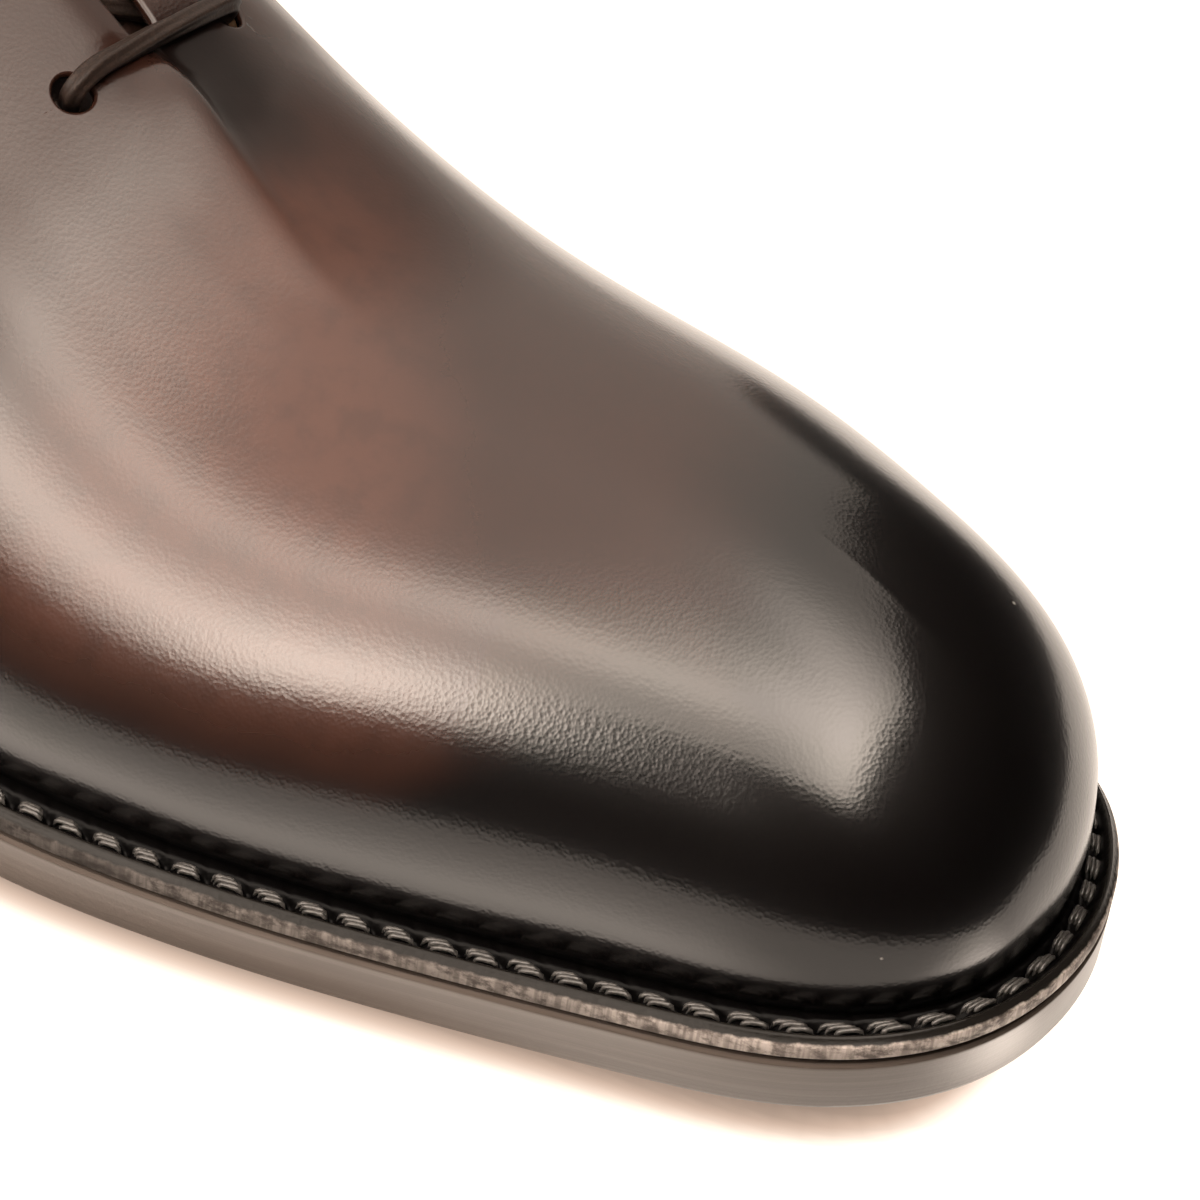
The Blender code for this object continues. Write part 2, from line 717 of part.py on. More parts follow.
make_outsole()
make_heel_stack()
make_top_piece()
make_welt()
make_insole()
make_upper()
make_tongue()
make_lace()
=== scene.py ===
import math

import bmesh
import bpy
import numpy as np
from mathutils import Matrix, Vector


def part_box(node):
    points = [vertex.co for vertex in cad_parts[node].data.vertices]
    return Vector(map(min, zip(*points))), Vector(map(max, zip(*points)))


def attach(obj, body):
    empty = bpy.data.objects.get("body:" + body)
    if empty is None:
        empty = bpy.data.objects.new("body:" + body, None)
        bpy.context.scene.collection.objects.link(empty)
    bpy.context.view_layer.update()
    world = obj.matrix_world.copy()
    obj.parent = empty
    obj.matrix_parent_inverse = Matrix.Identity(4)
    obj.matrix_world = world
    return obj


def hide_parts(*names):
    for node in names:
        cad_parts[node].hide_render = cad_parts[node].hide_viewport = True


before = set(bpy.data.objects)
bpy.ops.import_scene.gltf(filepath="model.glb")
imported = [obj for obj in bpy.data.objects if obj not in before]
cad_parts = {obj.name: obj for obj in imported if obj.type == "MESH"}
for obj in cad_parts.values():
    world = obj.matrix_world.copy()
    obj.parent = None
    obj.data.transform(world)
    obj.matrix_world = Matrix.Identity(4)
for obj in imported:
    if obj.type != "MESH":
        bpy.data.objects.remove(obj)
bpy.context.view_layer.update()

# Plain-toe oxford, left shoe. Shapes are worked out in millimetres from the heel's back, as in the
# part's source, and written in metres about the frame's origin.
MM = 0.001
GAP = 0.3
SOLE_THICK = 5.4
WELT_THICK = 2.5
WELT_UNDER = 2.3
TREAD_BACK = 192.0
TREAD_FRONT = 226.0
SEAT_FRONT = 66.0
SEAT_HEIGHT = 24.3
TOE_SPRING = 10.0
HEEL_BREAST = 70.0
BREAST_HOLLOW = 4.0
TOP_PIECE = 6.0
HEEL_INSET_TOP = 0.8
HEEL_INSET_LOW = 2.6
HEEL_WAIST = 0.3
WALL = 2.0
LEATHER = 1.2
INSOLE_RISE = 2.2
SOCK_ROUND = 0.5
SLIT_BASE = 181.5
SLIT_ROUND = 2.5
SLIT_HALF = 2.1
SLIT_SPREAD = 0.045
COLLAR_SHARE = 0.45
RIDGE_FROM = 0.42
RIDGE_FULL = 0.48
FLAT_PITCH = 20.0
STEEP_PITCH = 70.0
STEEP_CROWN = 0.8
TONGUE_THICK = 1.8
TONGUE_HALF = 20.0
TONGUE_HALF_TOP = 14.0
TONGUE_ROOM = 3.6
TONGUE_UNDER = 0.065
TONGUE_POINTS = 16
EYELET_ROWS = 5
EYELET_FIRST = 0.5
EYELET_LAST = 51.0
EYELET_HALF = 12.1
EYELET_RADIUS = 2.2
EYELET_WIDER = 0.5
EYELET_SIDES = 32
EYELET_ROLL = 0.25
CUT_REACH = 1.5
RIM_REACH = 2.2
RIM_ROLL = 0.18
BEND_LEVEL = 0.78
BASE_STEPS = (0.010, 0.008, 0.006, 0.0045, 0.003, 0.002, 0.0012, 0.0006)
LACE_RADIUS = 1.1
LACE_CLEAR = 0.5
LACE_REST = 0.15
LACE_DROP = 0.45
LACE_SHOULDER = 2.6
BAR_POINTS = 7
BAR_BOW = 0.15
BAR_PRESS = 0.35
RUN_HALF = 16.6
RUN_SHORT = 5.0

# Plan of the sole's edge, and the welt's reach past the upper by place along the shoe
HEEL_BACK = (0.0, 1.0)
TOE_TIP = (298.2, -4.5)
EDGE_COLUMNS = ("x", "inner", "outer")
EDGE_ROWS = [
    (9.0, -21.0, 22.0),
    (40.0, -31.5, 33.0),
    (85.0, -31.5, 36.5),
    (125.0, -33.5, 42.5),
    (165.0, -40.6, 50.4),
    (205.0, -43.3, 53.8),
    (240.0, -36.4, 49.5),
    (268.0, -30.6, 37.0),
    (287.0, -25.2, 23.9),
    (294.8, -17.9, 11.3),
]
REACH_ROWS = [(0.0, 3.0), (60.0, 3.6), (110.0, 4.2), (160.0, 4.4), (270.0, 4.4), (298.2, 4.0)]

# Sections of the upper, the line of its middle in plan, and the tongue's end past them: how far back
# and up each of its rows lies and how much narrower it is
LAST_COLUMNS = ("share", "top_x", "top_half", "top_z", "pitch", "lean", "wall", "crown")
LAST_ROWS = [
    (0.00, 7.0, 0.0, 97.0, 78.0, 12.0, 0.40, 0.40),
    (0.07, 12.0, 16.0, 96.0, 80.0, 12.0, 0.40, 0.40),
    (0.14, 26.0, 24.0, 92.0, 82.0, 10.0, 0.40, 0.40),
    (0.22, 48.0, 28.0, 86.0, 84.0, 8.0, 0.40, 0.40),
    (0.31, 78.0, 29.0, 84.0, 80.0, 8.0, 0.40, 0.40),
    (0.39, 103.0, 20.0, 95.0, 55.0, 8.0, 0.45, 0.45),
    (0.45, 121.0, 5.0, 108.0, 28.0, 8.0, 0.48, 0.50),
    (0.52, 147.0, 0.8, 92.7, 12.0, 10.0, 0.49, 0.52),
    (0.60, 182.0, 0.0, 66.2, 0.0, 12.0, 0.48, 0.54),
    (0.70, 212.0, 0.0, 51.4, 0.0, 12.0, 0.50, 0.57),
    (0.80, 236.0, 0.0, 48.7, 0.0, 11.0, 0.56, 0.63),
    (0.90, 252.0, 0.0, 47.8, 0.0, 13.0, 0.57, 0.66),
    (1.00, 260.0, 0.0, 46.9, 0.0, 13.0, 0.58, 0.68),
]
CENTRE_ROWS = [(0.0, 0.0), (60.0, 1.0), (130.0, 3.0), (182.0, 4.0), (220.0, 4.0), (260.0, 0.5)]
TONGUE_END_ROWS = [
    (20.5, 15.0, 0.60), (19.0, 12.8, 0.84), (16.0, 8.6, 0.94), (12.0, 3.6, 0.94), (8.5, 0.4, 0.95),
]

# Soft folds along the throat and forward from it: a line in plan from one place to another, off the
# centre line, with the fold's half widths on its two sides, its height, which is negative in a
# trough, and the lengths over which it begins and ends
FOLD_ROWS = [
    (112.0, 0.0, 190.0, 0.0, 8.5, 8.5, -1.9, 10.0, 9.0),
    (108.0, 0.0, 178.0, 0.0, 9.0, 9.0, -1.1, 14.0, 34.0),
    (148.0, -6.0, 182.0, -5.2, 3.6, 2.6, 0.75, 14.0, 3.5),
    (180.5, -1.2, 217.0, -9.4, 5.2, 1.9, 1.50, 5.0, 30.0),
    (177.0, 3.5, 216.0, 2.0, 4.0, 11.0, -1.0, 7.0, 24.0),
    (190.0, -11.0, 217.0, -12.2, 3.0, 3.0, -0.30, 6.0, 12.0),
]

# Tones and marks of the upper: where the paler patch begins and ends, the burnish of toe, heel and
# lower edge, a spot before the throat that takes less polish, the shade beside the fold, the toe's
# lint, the waves over the welt and one scratch
PALE_BACK = (188.0, 205.0)
PALE_FRONT = (223.0, 198.0)
PALE_SKEW = 0.9
PALE_SIDE = (0.024, -0.004)
WANDER = 0.016
TOE_DARK = (243.0, 260.0)
TOE_SKEW = 0.5
HEEL_DARK = (60.0, 10.0)
LOW_DARK = (33.0, 17.5)
LOW_RISE = 14.0
LOW_FRONT = (236.0, 260.0)
DULL_SPOT = (200.0, 8.0, 56.0)
DULL_REACH = 24.0
DULL_BACK = (192.0, 178.0)
SHADE_FROM = 184.5
SHADE_TO = 203.0
SHADE_SIDE = 4.0
SHADE_TURN = -0.2
LINT_FROM = 272.0
LINT_FADE = 3.0
LINT_SCALE = 230.0
WAVE_DEEP = 0.05
WAVE_LONG = 17.0
WAVE_SHORT = 9.4
WAVE_RISE = 9.0
SCRATCH = [(265.4, -23.6, 33.0), (271.3, -20.9, 35.9)]
SCRATCH_WIDE = (0.00011, 0.00004)

# Colours of leather, thread and rubber
BROWN_TONES = ((0.0165, 0.0061, 0.0038), (0.0440, 0.0163, 0.0100))
BROWN_MOTTLE = (0.0120, 0.0044, 0.0028)
# Dark of the burnish, also the colour of the painted shade beside the fold
BURNISH_AND_SHADE = (0.0012, 0.0007, 0.0006)
LINT = (0.24, 0.23, 0.21)
# Tongue brown, darkened as painted shade of the throat's gap
TONGUE_TONES_SHADED = ((0.022, 0.011, 0.008), (0.034, 0.017, 0.012))
LINING_TONES = ((0.36, 0.22, 0.12), (0.42, 0.27, 0.15))
SOCK_TONES = ((0.33, 0.20, 0.11), (0.40, 0.25, 0.14))
WELT_TOP_TONES = ((0.0012, 0.0010, 0.0010), (0.009, 0.008, 0.007))
# Welt side: lighter scuffs, with a painted reflection of the bright table
WELT_SIDE_SCUFF_AND_REFLECTION = ((0.034, 0.028, 0.025), (0.165, 0.146, 0.133))
SOLE_TONES = ((0.056, 0.045, 0.038), (0.082, 0.068, 0.060))
HEEL_TONES = ((0.014, 0.009, 0.007), (0.030, 0.020, 0.015))
RUBBER_TONES = ((0.018, 0.017, 0.016), (0.035, 0.033, 0.031))
WELT_THREAD = (0.032, 0.030, 0.028)
LACE_BLACK = (0.010, 0.006, 0.0045)
SEAM_BROWN = (0.03, 0.016, 0.011)

# Numbers of the mix node's colour inputs and of its colour result
MIX_A = 6
MIX_B = 7
MIXED = 2

# Welt stitching and its marks
STITCH_PITCH = 4.3
STITCH_LONG = 2.75
STITCH_STRANDS = 3
STRAND_RADIUS = 0.27
STRAND_APART = 0.42
STITCH_IN = 2.45
STITCH_BACK = 78.0
STITCH_SLANT = 0.10
LIP_CREST = 0.80
LIP_RISE = 0.14
LIP_FOOT = 1.30
CHANNEL_DEEP = 0.45
CHANNEL_BACK = 3.5
PRICK_DEEP = 1.1
PRICK_HALF = 0.72
MARK_DEEP = 0.18

# Lace, lining and seams
STRANDS = 5
STRAND_DEPTH = 0.11
STRAND_TURN = 26.0
SEAM_PITCH = 2.4
SEAM_LONG = 1.8
SEAM_RADIUS = 0.24
SEAM_IN = 2.2
LINING_TOP = 0.985
HEEL_LIFTS = 4
LIFT_GROOVE = 0.25

# Edge profiles from below: the inset of the outline and the height, as a share on a lift
SOLE_PROFILE = [(0.5, 0.0), (0.18, 0.12), (0.0, 0.5), (0.0, SOLE_THICK - 0.35), (0.3, SOLE_THICK)]
TIP_PROFILE = [(0.6, 0.0), (0.15, 0.2), (0.0, 0.7), (0.0, TOP_PIECE - 0.3), (0.25, TOP_PIECE)]
LIFT_PROFILE = [(0.0, LIFT_GROOVE), (0.07, 0.0), (0.5, 0.0), (0.93, 0.0), (1.0, LIFT_GROOVE)]
WELT_PROFILE = [(0.9, 0.0), (0.35, 0.16), (0.0, 0.42), (0.0, 1.70), (0.04, 1.84), (0.16, 1.92), (0.55, 2.38)]
WELT_BEVEL = 0.58

# Camera: the photo's angle to the shoe, its distance and its lens
VIEW_TURN = 28.356
VIEW_RISE = 35.480
VIEW_ROLL = 7.859
VIEW_AWAY = 371.235
VIEW_AT = (237.029, 7.751, 22.0)
SENSOR = 36.0
LENS = 111.46

# White table: rings round the sole's edge by their distance from it, then its own outline in plan.
# Rows of glow are by the distance from the edge, on the near side and in the sole's shade.
TABLE_SIDES = 200
TABLE_RINGS = (-12.0, -9.0, -7.0, -5.0, -4.0, -3.0, -2.0, -1.0, 0.0, 1.0, 2.0, 3.0, 4.0, 5.5, 7.0, 9.0, 12.0,
               16.0, 22.0, 30.0, 40.0, 55.0)
TABLE_EDGE = [(-400.0, -92.0), (245.0, -92.0), (345.0, -30.0), (395.0, 60.0), (395.0, 420.0), (-400.0, 420.0)]
TABLE_MIDDLE = (150.0, 0.0)
TABLE_FAR = -12.0
TABLE_FAR_FADE = 30.0
TABLE_TOE = 258.0
TABLE_TOE_FADE = 26.0
TABLE_TOE_DIM = 0.6
TABLE_ROWS = [(-12.0, 0.1), (0.0, 0.4), (3.0, 0.9), (6.0, 2.2), (11.0, 4.0), (25.0, 2.2), (45.0, 1.5)]
SHADE_ROWS = [(-6.0, 0.1), (0.0, 0.46), (1.5, 0.74), (2.4, 0.95), (3.6, 1.4), (5.0, 1.5)]
SHADE_LIFT = 0.85
SHADE_COLOUR = (1.0, 0.73, 0.57)
TOE_LIGHT = (299.0, -8.0)
TOE_LIGHT_REACH = 8.0
TOE_LIGHT_GAIN = 1.5

# Light tent: angles go from the near side up and over, and distances along the shoe are shares of
# the tent's radius. A row of the tent is an angle and its front edge. A lamp has its angle and spread,
# the stretch where it begins and ends, how fast it fades past that, and its glow.
TENT_AXIS = (265.0, 0.0, 35.0)
TENT_RADIUS = 260.0
TENT_BACK = -2.6
TENT_FINE = -0.7
TENT_GLOW = 2.0
TENT_DIM_ROWS = [(105.0, 1.0), (160.0, 0.4)]
TENT_COLOUR = (1.0, 0.865, 0.75)
BACKDROP_RADIUS = 6.0
BACKDROP_GLOW = 1.2
TENT_ROWS = [
    (11.0, -0.19), (30.0, -0.19), (34.0, -0.08), (37.0, 0.28), (42.0, 0.36), (60.0, 0.38), (100.0, 0.38),
    (108.0, 0.34), (120.0, 0.22), (132.0, 0.05), (144.0, -0.12), (165.0, -0.20), (169.0, -0.38),
    (182.0, -0.40),
]
LAMP_ROWS = [
    (65.0, 25.0, 0.26, 0.37, 0.20, 12.0),
    (18.3, 7.1, -0.28, -0.28, 0.055, 15.5),
    (26.0, 8.0, -1.5, -0.50, 0.22, 11.4),
    (49.0, 5.5, -0.38, -0.24, 0.09, 7.5),
    (62.0, 10.0, -0.16, -0.04, 0.07, 4.5),
    (96.0, 11.0, -0.10, 0.0, 0.09, 1.8),
]


def row_value(x, rows):
    """Value between the rows of a table with two columns."""
    return np.interp(x, *np.transpose(rows))


def columns(names, rows):
    """Table rows as one array for each named column."""
    return dict(zip(names, np.array(rows, dtype=float).T))


def unit(vectors):
    """Vectors brought to length one."""
    return vectors / np.linalg.norm(vectors, axis=-1, keepdims=True)


def natural_spline(xs, ys):
    """Smooth curve through table values, held at its ends."""
    count = len(xs)
    step = np.diff(xs)
    matrix = np.eye(count)
    right = np.zeros(count)
    for i in range(1, count - 1):
        matrix[i, i - 1:i + 2] = (step[i - 1], 2.0 * (step[i - 1] + step[i]), step[i])
        right[i] = 6.0 * ((ys[i + 1] - ys[i]) / step[i] - (ys[i] - ys[i - 1]) / step[i - 1])
    bend = np.linalg.solve(matrix, right)

    def curve(x):
        x = np.clip(np.asarray(x, dtype=float), xs[0], xs[-1])
        i = np.clip(np.searchsorted(xs, x) - 1, 0, count - 2)
        low = x - xs[i]
        high = xs[i + 1] - x
        cubic = (bend[i] * high ** 3 + bend[i + 1] * low ** 3) / (6.0 * step[i])
        left = (ys[i] / step[i] - bend[i] * step[i] / 6.0) * high
        return cubic + left + (ys[i + 1] / step[i] - bend[i + 1] * step[i] / 6.0) * low

    return curve


def run_along(points):
    """Distance along a line at each of its points."""
    return np.concatenate([[0.0], np.cumsum(np.linalg.norm(np.diff(points, axis=0), axis=1))])


def curve_through(points, own, run):
    """Points at given distances on a smooth curve through a line's points."""
    return np.stack([natural_spline(own, axis)(run) for axis in points.T], axis=1)


def closed_curve(points, count):
    """Evenly stepped points on a smooth closed curve: the middle one of three laps."""
    laps = np.vstack([points, points, points, points[:1]])
    own = run_along(laps)
    lap = len(points)
    return curve_through(laps, own, np.linspace(own[lap], own[2 * lap], count, endpoint=False))


def lookup(run, own, points):
    """Points of a line at given distances, from their own distances along it."""
    return np.stack([np.interp(run, own, axis) for axis in points.T], axis=1)


def resample(points, run):
    """Points at given distances along a line."""
    return lookup(run, run_along(points), points)


def soft_step(value):
    """Smooth rise from 0 to 1."""
    value = np.clip(value, 0.0, 1.0)
    return value * value * (3.0 - 2.0 * value)


EDGE = columns(EDGE_COLUMNS, EDGE_ROWS)
LAST = columns(LAST_COLUMNS, LAST_ROWS)
LAST_CURVES = {name: natural_spline(LAST["share"], LAST[name]) for name in LAST_COLUMNS[1:]}
centre_line = natural_spline(*np.transpose(CENTRE_ROWS))
EDGE_LOOP = closed_curve(np.vstack([
    [HEEL_BACK],
    np.stack([EDGE["x"], EDGE["inner"]], axis=1),
    [TOE_TIP],
    np.stack([EDGE["x"], EDGE["outer"]], axis=1)[::-1],
]), 6000)
THROAT_SHARES = np.linspace(0.5, 0.7, 401)
SLIT_SHARE = float(np.interp(SLIT_BASE, LAST_CURVES["top_x"](THROAT_SHARES), THROAT_SHARES))
SOLE_LOW = np.array(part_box("outsole")[0])
ORIGIN = np.append(EDGE_LOOP.min(axis=0), 0.0) - SOLE_LOW / MM


def sole_bottom(x):
    """Height of the outsole's underside above the floor."""
    front = np.clip(x - TREAD_FRONT, 0.0, None) / (TOE_TIP[0] - TREAD_FRONT)
    back = soft_step((TREAD_BACK - x) / (TREAD_BACK - SEAT_FRONT))
    return SEAT_HEIGHT * back + TOE_SPRING * front ** 2


def welt_low(x):
    return sole_bottom(x) + SOLE_THICK + GAP


def welt_top(x):
    return welt_low(x) + WELT_THICK


def upper_low(x):
    return welt_top(x) + GAP


def welt_reach(x):
    return row_value(x, REACH_ROWS)


def constant(value):
    return lambda x: np.zeros_like(np.asarray(x, dtype=float)) + value


def inset_loop(inset):
    """Sole edge moved inward, by a distance that may change along the shoe."""
    ahead = unit(np.roll(EDGE_LOOP, -1, axis=0) - np.roll(EDGE_LOOP, 1, axis=0))
    inward = np.stack([-ahead[:, 1], ahead[:, 0]], axis=1)
    return EDGE_LOOP + inward * inset(EDGE_LOOP[:, 0])[:, None]


def half_line(side, inset, shares):
    """Plan points on one side from heel to toe."""
    loop = inset_loop(inset)
    loop = np.roll(loop, -int(np.argmin(loop[:, 0])), axis=0)
    tip = int(np.argmax(loop[:, 0]))
    half = loop[:tip + 1] if side < 0 else np.vstack([loop[tip:], loop[:1]])[::-1]
    return resample(half, shares * run_along(half)[-1])


def slit_half(x):
    """Half width of the throat slit, round at its base."""
    behind = np.clip(SLIT_BASE - x, 0.0, None)
    near_base = np.clip(behind / SLIT_ROUND, 0.0, 1.0)
    return (SLIT_HALF + SLIT_SPREAD * behind) * np.sqrt(1.0 - (1.0 - near_base) ** 2)


def section_points(knots, levels):
    """Points on the curved sections at given levels."""
    v = levels[:, :, None]
    weights = [(1 - v) ** 3, 3 * (1 - v) ** 2 * v, 3 * (1 - v) * v ** 2, v ** 3]
    return sum(weight * knot[:, None, :] for weight, knot in zip(weights, knots))


def upper_grid(side, shares, levels):
    """Outer face of the upper on one side: sections along the shoe, levels up each one."""
    foot = half_line(side, welt_reach, shares)
    last = {name: curve(shares) for name, curve in LAST_CURVES.items()}
    half = np.where(shares < SLIT_SHARE, np.clip(last["top_half"], 0.0, None), 0.0)
    low = np.column_stack([foot, upper_low(foot[:, 0])])
    top = np.column_stack([last["top_x"], centre_line(last["top_x"]) + side * half, last["top_z"]])
    reach = (top - low)[:, :2]
    width = np.linalg.norm(reach, axis=1)
    toward = reach / width[:, None]
    height = top[:, 2] - low[:, 2]
    fine = np.linspace(0.0, 1.0, 801)
    ridge_slope = np.gradient(LAST_CURVES["top_z"](fine), LAST_CURVES["top_x"](fine))
    on_ridge = np.clip((shares - RIDGE_FROM) / (RIDGE_FULL - RIDGE_FROM), 0.0, 1.0)
    slope = np.interp(shares, fine, ridge_slope) * on_ridge
    lean = np.radians(last["lean"])
    pitch = np.radians(last["pitch"])
    rise = np.column_stack([-toward * np.sin(lean)[:, None], np.cos(lean)])
    arrive = np.column_stack([
        toward * np.cos(pitch)[:, None],
        np.sin(pitch) + toward[:, 0] * slope * np.cos(pitch),
    ])
    upright = np.clip((last["pitch"] - FLAT_PITCH) / (STEEP_PITCH - FLAT_PITCH), 0.0, 1.0)
    crown = last["crown"] * (width * (1.0 - upright) + STEEP_CROWN * height * upright)
    wall = last["wall"] * height
    knots = [low, low + rise * wall[:, None], top - arrive * crown[:, None], top]
    near_top = np.linspace(0.7, 1.0, 1501)
    sections = section_points(knots, np.tile(near_top, (len(shares), 1)))
    off = np.abs(sections[:, :, 1] - centre_line(sections[:, :, 0]))
    clear = (off >= slit_half(sections[:, :, 0]) - 1e-9) | (shares < COLLAR_SHARE)[:, None]
    reach_up = np.array([near_top[np.flatnonzero(line).max()] for line in clear])
    return section_points(knots, reach_up[:, None] * np.asarray(levels)[None, :])


def grid_normals(grid, side):
    """Outward directions on a grid of one side."""
    return unit(-side * np.cross(np.gradient(grid, axis=0), np.gradient(grid, axis=1)))


FINE_SHARES = np.linspace(0.40, 0.72, 321)
FINE_LEVELS = np.linspace(0.5, 1.0, 161)
FINE = {side: upper_grid(side, FINE_SHARES, FINE_LEVELS) for side in (-1, 1)}
FINE_NORMALS = {side: grid_normals(FINE[side], side) for side in (-1, 1)}


def on_side(side, x, off):
    """Point and outward direction of the upper near a place in plan."""
    grid = FINE[side].reshape(-1, 3)
    place = np.array([x, float(centre_line(x)) + off])
    away = np.linalg.norm(grid[:, :2] - place, axis=1)
    close = np.argsort(away)[:6]
    weight = 1.0 / (away[close] + 0.05) ** 2
    weight /= weight.sum()
    normal = weight @ FINE_NORMALS[side].reshape(-1, 3)[close]
    return np.append(place, weight @ grid[close, 2]), unit(normal)


def on_throat(x, off, lift):
    """Place over the throat, off its centre line and lifted from the upper's outer face."""
    edge = SLIT_HALF + SLIT_SPREAD * max(SLIT_BASE - x, 0.0) + 0.3
    if abs(off) >= edge:
        point, normal = on_side(-1 if off < 0 else 1, x, off)
        return point + normal * lift
    inner, inner_normal = on_side(-1, x, -edge)
    outer, outer_normal = on_side(1, x, edge)
    share = (off + edge) / (2.0 * edge)
    point = inner * (1.0 - share) + outer * share
    normal = inner_normal * (1.0 - share) + outer_normal * share
    return point + unit(normal) * lift


def eyelet_x(row):
    """Place of a row of eyelets along the shoe, counted from the throat's base."""
    return SLIT_BASE - EYELET_FIRST - row * (EYELET_LAST - EYELET_FIRST) / (EYELET_ROWS - 1)


def fold_lift(x, y):
    """Height of the soft folds over a place in plan."""
    lift = np.zeros_like(x)
    off = y - centre_line(x)
    for x_from, off_from, x_to, off_to, near, far, height, begin, end in FOLD_ROWS:
        line = off_from + (off_to - off_from) * (x - x_from) / (x_to - x_from)
        fade = soft_step((x - x_from) / begin) * soft_step((x_to - x) / end)
        lift += height * fade * np.exp(-((off - line) / np.where(off < line, near, far)) ** 2)
    return lift


# Meshes and pieces
def add_sheet(mesh_data, grid, turned=False, closed=False):
    """Faces over a grid of points, whose rows may be closed rings."""
    verts = [[mesh_data.verts.new(point) for point in line] for line in grid]
    for low, high in zip(verts[:-1], verts[1:]):
        for i in range(0 if closed else 1, len(low)):
            ring = [low[i - 1], high[i - 1], high[i], low[i]]
            mesh_data.faces.new(ring[::-1] if turned else ring)
    return verts


def weld(mesh_data, distance):
    bmesh.ops.remove_doubles(mesh_data, verts=mesh_data.verts, dist=distance)


def keep_values(mesh_data, name, values):
    """Keeps a value at each of the mesh's points, under a name that its material reads."""
    layer = mesh_data.verts.layers.float.new(name)
    for vert, value in zip(mesh_data.verts, values):
        vert[layer] = value


def stacked(grids, distance):
    """Closed block between grids of points that lie one over another."""
    block = bmesh.new()
    add_sheet(block, grids[0], True)
    add_sheet(block, grids[-1])
    for low, high in zip(grids[:-1], grids[1:]):
        add_sheet(block, [low[:, 0], high[:, 0]])
        add_sheet(block, [high[:, -1], low[:, -1]])
        add_sheet(block, [low[0], high[0]], True)
        add_sheet(block, [high[-1], low[-1]], True)
    weld(block, distance)
    return block


def frame_point(point):
    """Frame position of places given in millimetres from the heel's back."""
    return (np.array(point) - ORIGIN) * MM


def new_object(name, mesh_data, material):
    """Object in the scene from a bmesh in metres."""
    mesh = bpy.data.meshes.new(name)
    mesh_data.to_mesh(mesh)
    mesh_data.free()
    mesh.materials.append(material)
    made = bpy.data.objects.new(name, mesh)
    bpy.context.scene.collection.objects.link(made)
    return made


def new_piece(name, mesh_data, material, node=None, hard=None):
    """Piece of the shoe from a bmesh in millimetres, with edges past an angle kept crisp."""
    bmesh.ops.recalc_face_normals(mesh_data, faces=mesh_data.faces)
    places = np.array([vert.co for vert in mesh_data.verts])
    keep_values(mesh_data, "rise", places[:, 2] - sole_bottom(places[:, 0]))
    for vert, spot in zip(mesh_data.verts, frame_point(places)):
        vert.co = spot
    piece = new_object(name, mesh_data, material)
    piece.data.shade_smooth()
    if hard:
        piece.data.set_sharp_from_angle(angle=math.radians(hard))
    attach(piece, "root")
    if node:
        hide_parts(node)


def add_tube(mesh_data, line, radius, sides):
    """Round tube along a line. Radius is a function of share, angles and distance along."""
    ahead = unit(np.gradient(line, axis=0))
    run = run_along(line)
    across = np.cross(ahead[0], (0.0, 0.0, 1.0))
    if np.linalg.norm(across) < 0.1:
        across = np.cross(ahead[0], (1.0, 0.0, 0.0))
    angles = np.linspace(0.0, math.tau, sides, endpoint=False)
    grid = []
    for point, way, gone in zip(line, ahead, run):
        across = unit(across - way * (across @ way))
        turns = np.outer(np.cos(angles), across) + np.outer(np.sin(angles), np.cross(way, across))
        grid.append(point + turns * np.reshape(radius(gone / run[-1], angles, gone), (-1, 1)))
    rings = add_sheet(mesh_data, grid, closed=True)
    mesh_data.faces.new(rings[0])
    mesh_data.faces.new(rings[-1][::-1])


# Materials
class Value:
    """Result of a shader node, which takes plain arithmetic."""

    def __init__(self, tree, socket):
        self.tree = tree
        self.socket = socket

    def math(self, kind, *pair):
        return result(self.tree, "Math", "Value", dict(enumerate(pair)), operation=kind)

    def __add__(self, other):
        return self.math("ADD", self, other)

    def __sub__(self, other):
        return self.math("SUBTRACT", self, other)

    def __rsub__(self, other):
        return self.math("SUBTRACT", other, self)

    def __mul__(self, other):
        return self.math("MULTIPLY", self, other)

    def most(self, other):
        return self.math("MAXIMUM", self, other)

    def vector(self, kind, *others, out="Vector"):
        """Vector arithmetic with this value first."""
        return result(self.tree, "VectorMath", out, dict(enumerate((self, *others))), operation=kind)

    def scaled(self, factor):
        """Colour made lighter or darker by a factor."""
        return result(self.tree, "VectorMath", "Vector", {0: self, "Scale": factor}, operation="SCALE")

    def band(self, low, high, low_out=0.0, high_out=1.0):
        """Smooth change between two limits."""
        ends = {"Value": self, "From Min": low, "From Max": high, "To Min": low_out, "To Max": high_out}
        return result(self.tree, "MapRange", "Result", ends, interpolation_type="SMOOTHSTEP")

    def along(self, begin, end, low_out=0.0, high_out=1.0):
        """Smooth change of a coordinate between two places along the shoe."""
        return self.band(*((np.array([begin, end]) - ORIGIN[0]) * MM), low_out, high_out)

    def mix(self, first, second):
        """Mix of two colours, with this value as the second one's share."""
        return result(self.tree, "Mix", MIXED, {0: self, MIX_A: first, MIX_B: second}, data_type="RGBA")


def fill(shader, inputs):
    """Sets a node's inputs by name or number, each to a plain value or another node's result."""
    for key, value in inputs.items():
        socket = shader.inputs[key]
        if isinstance(value, Value):
            value.tree.links.new(value.socket, socket)
        else:
            socket.default_value = (*value, 1.0) if socket.type == "RGBA" else value


def result(tree, kind, out, inputs, **settings):
    """One result of a new shader node."""
    made = tree.nodes.new("ShaderNode" + kind)
    for key, value in settings.items():
        setattr(made, key, value)
    fill(made, inputs)
    return Value(tree, made.outputs[out])


def new_material(name):
    """Material and its object coordinates, in metres."""
    material = bpy.data.materials.new(name)
    material.use_nodes = True
    return material, result(material.node_tree, "TexCoord", "Object", {})


def dress(material, inputs):
    """The material, with the inputs of its main shader set."""
    fill(material.node_tree.nodes["Principled BSDF"], inputs)
    return material


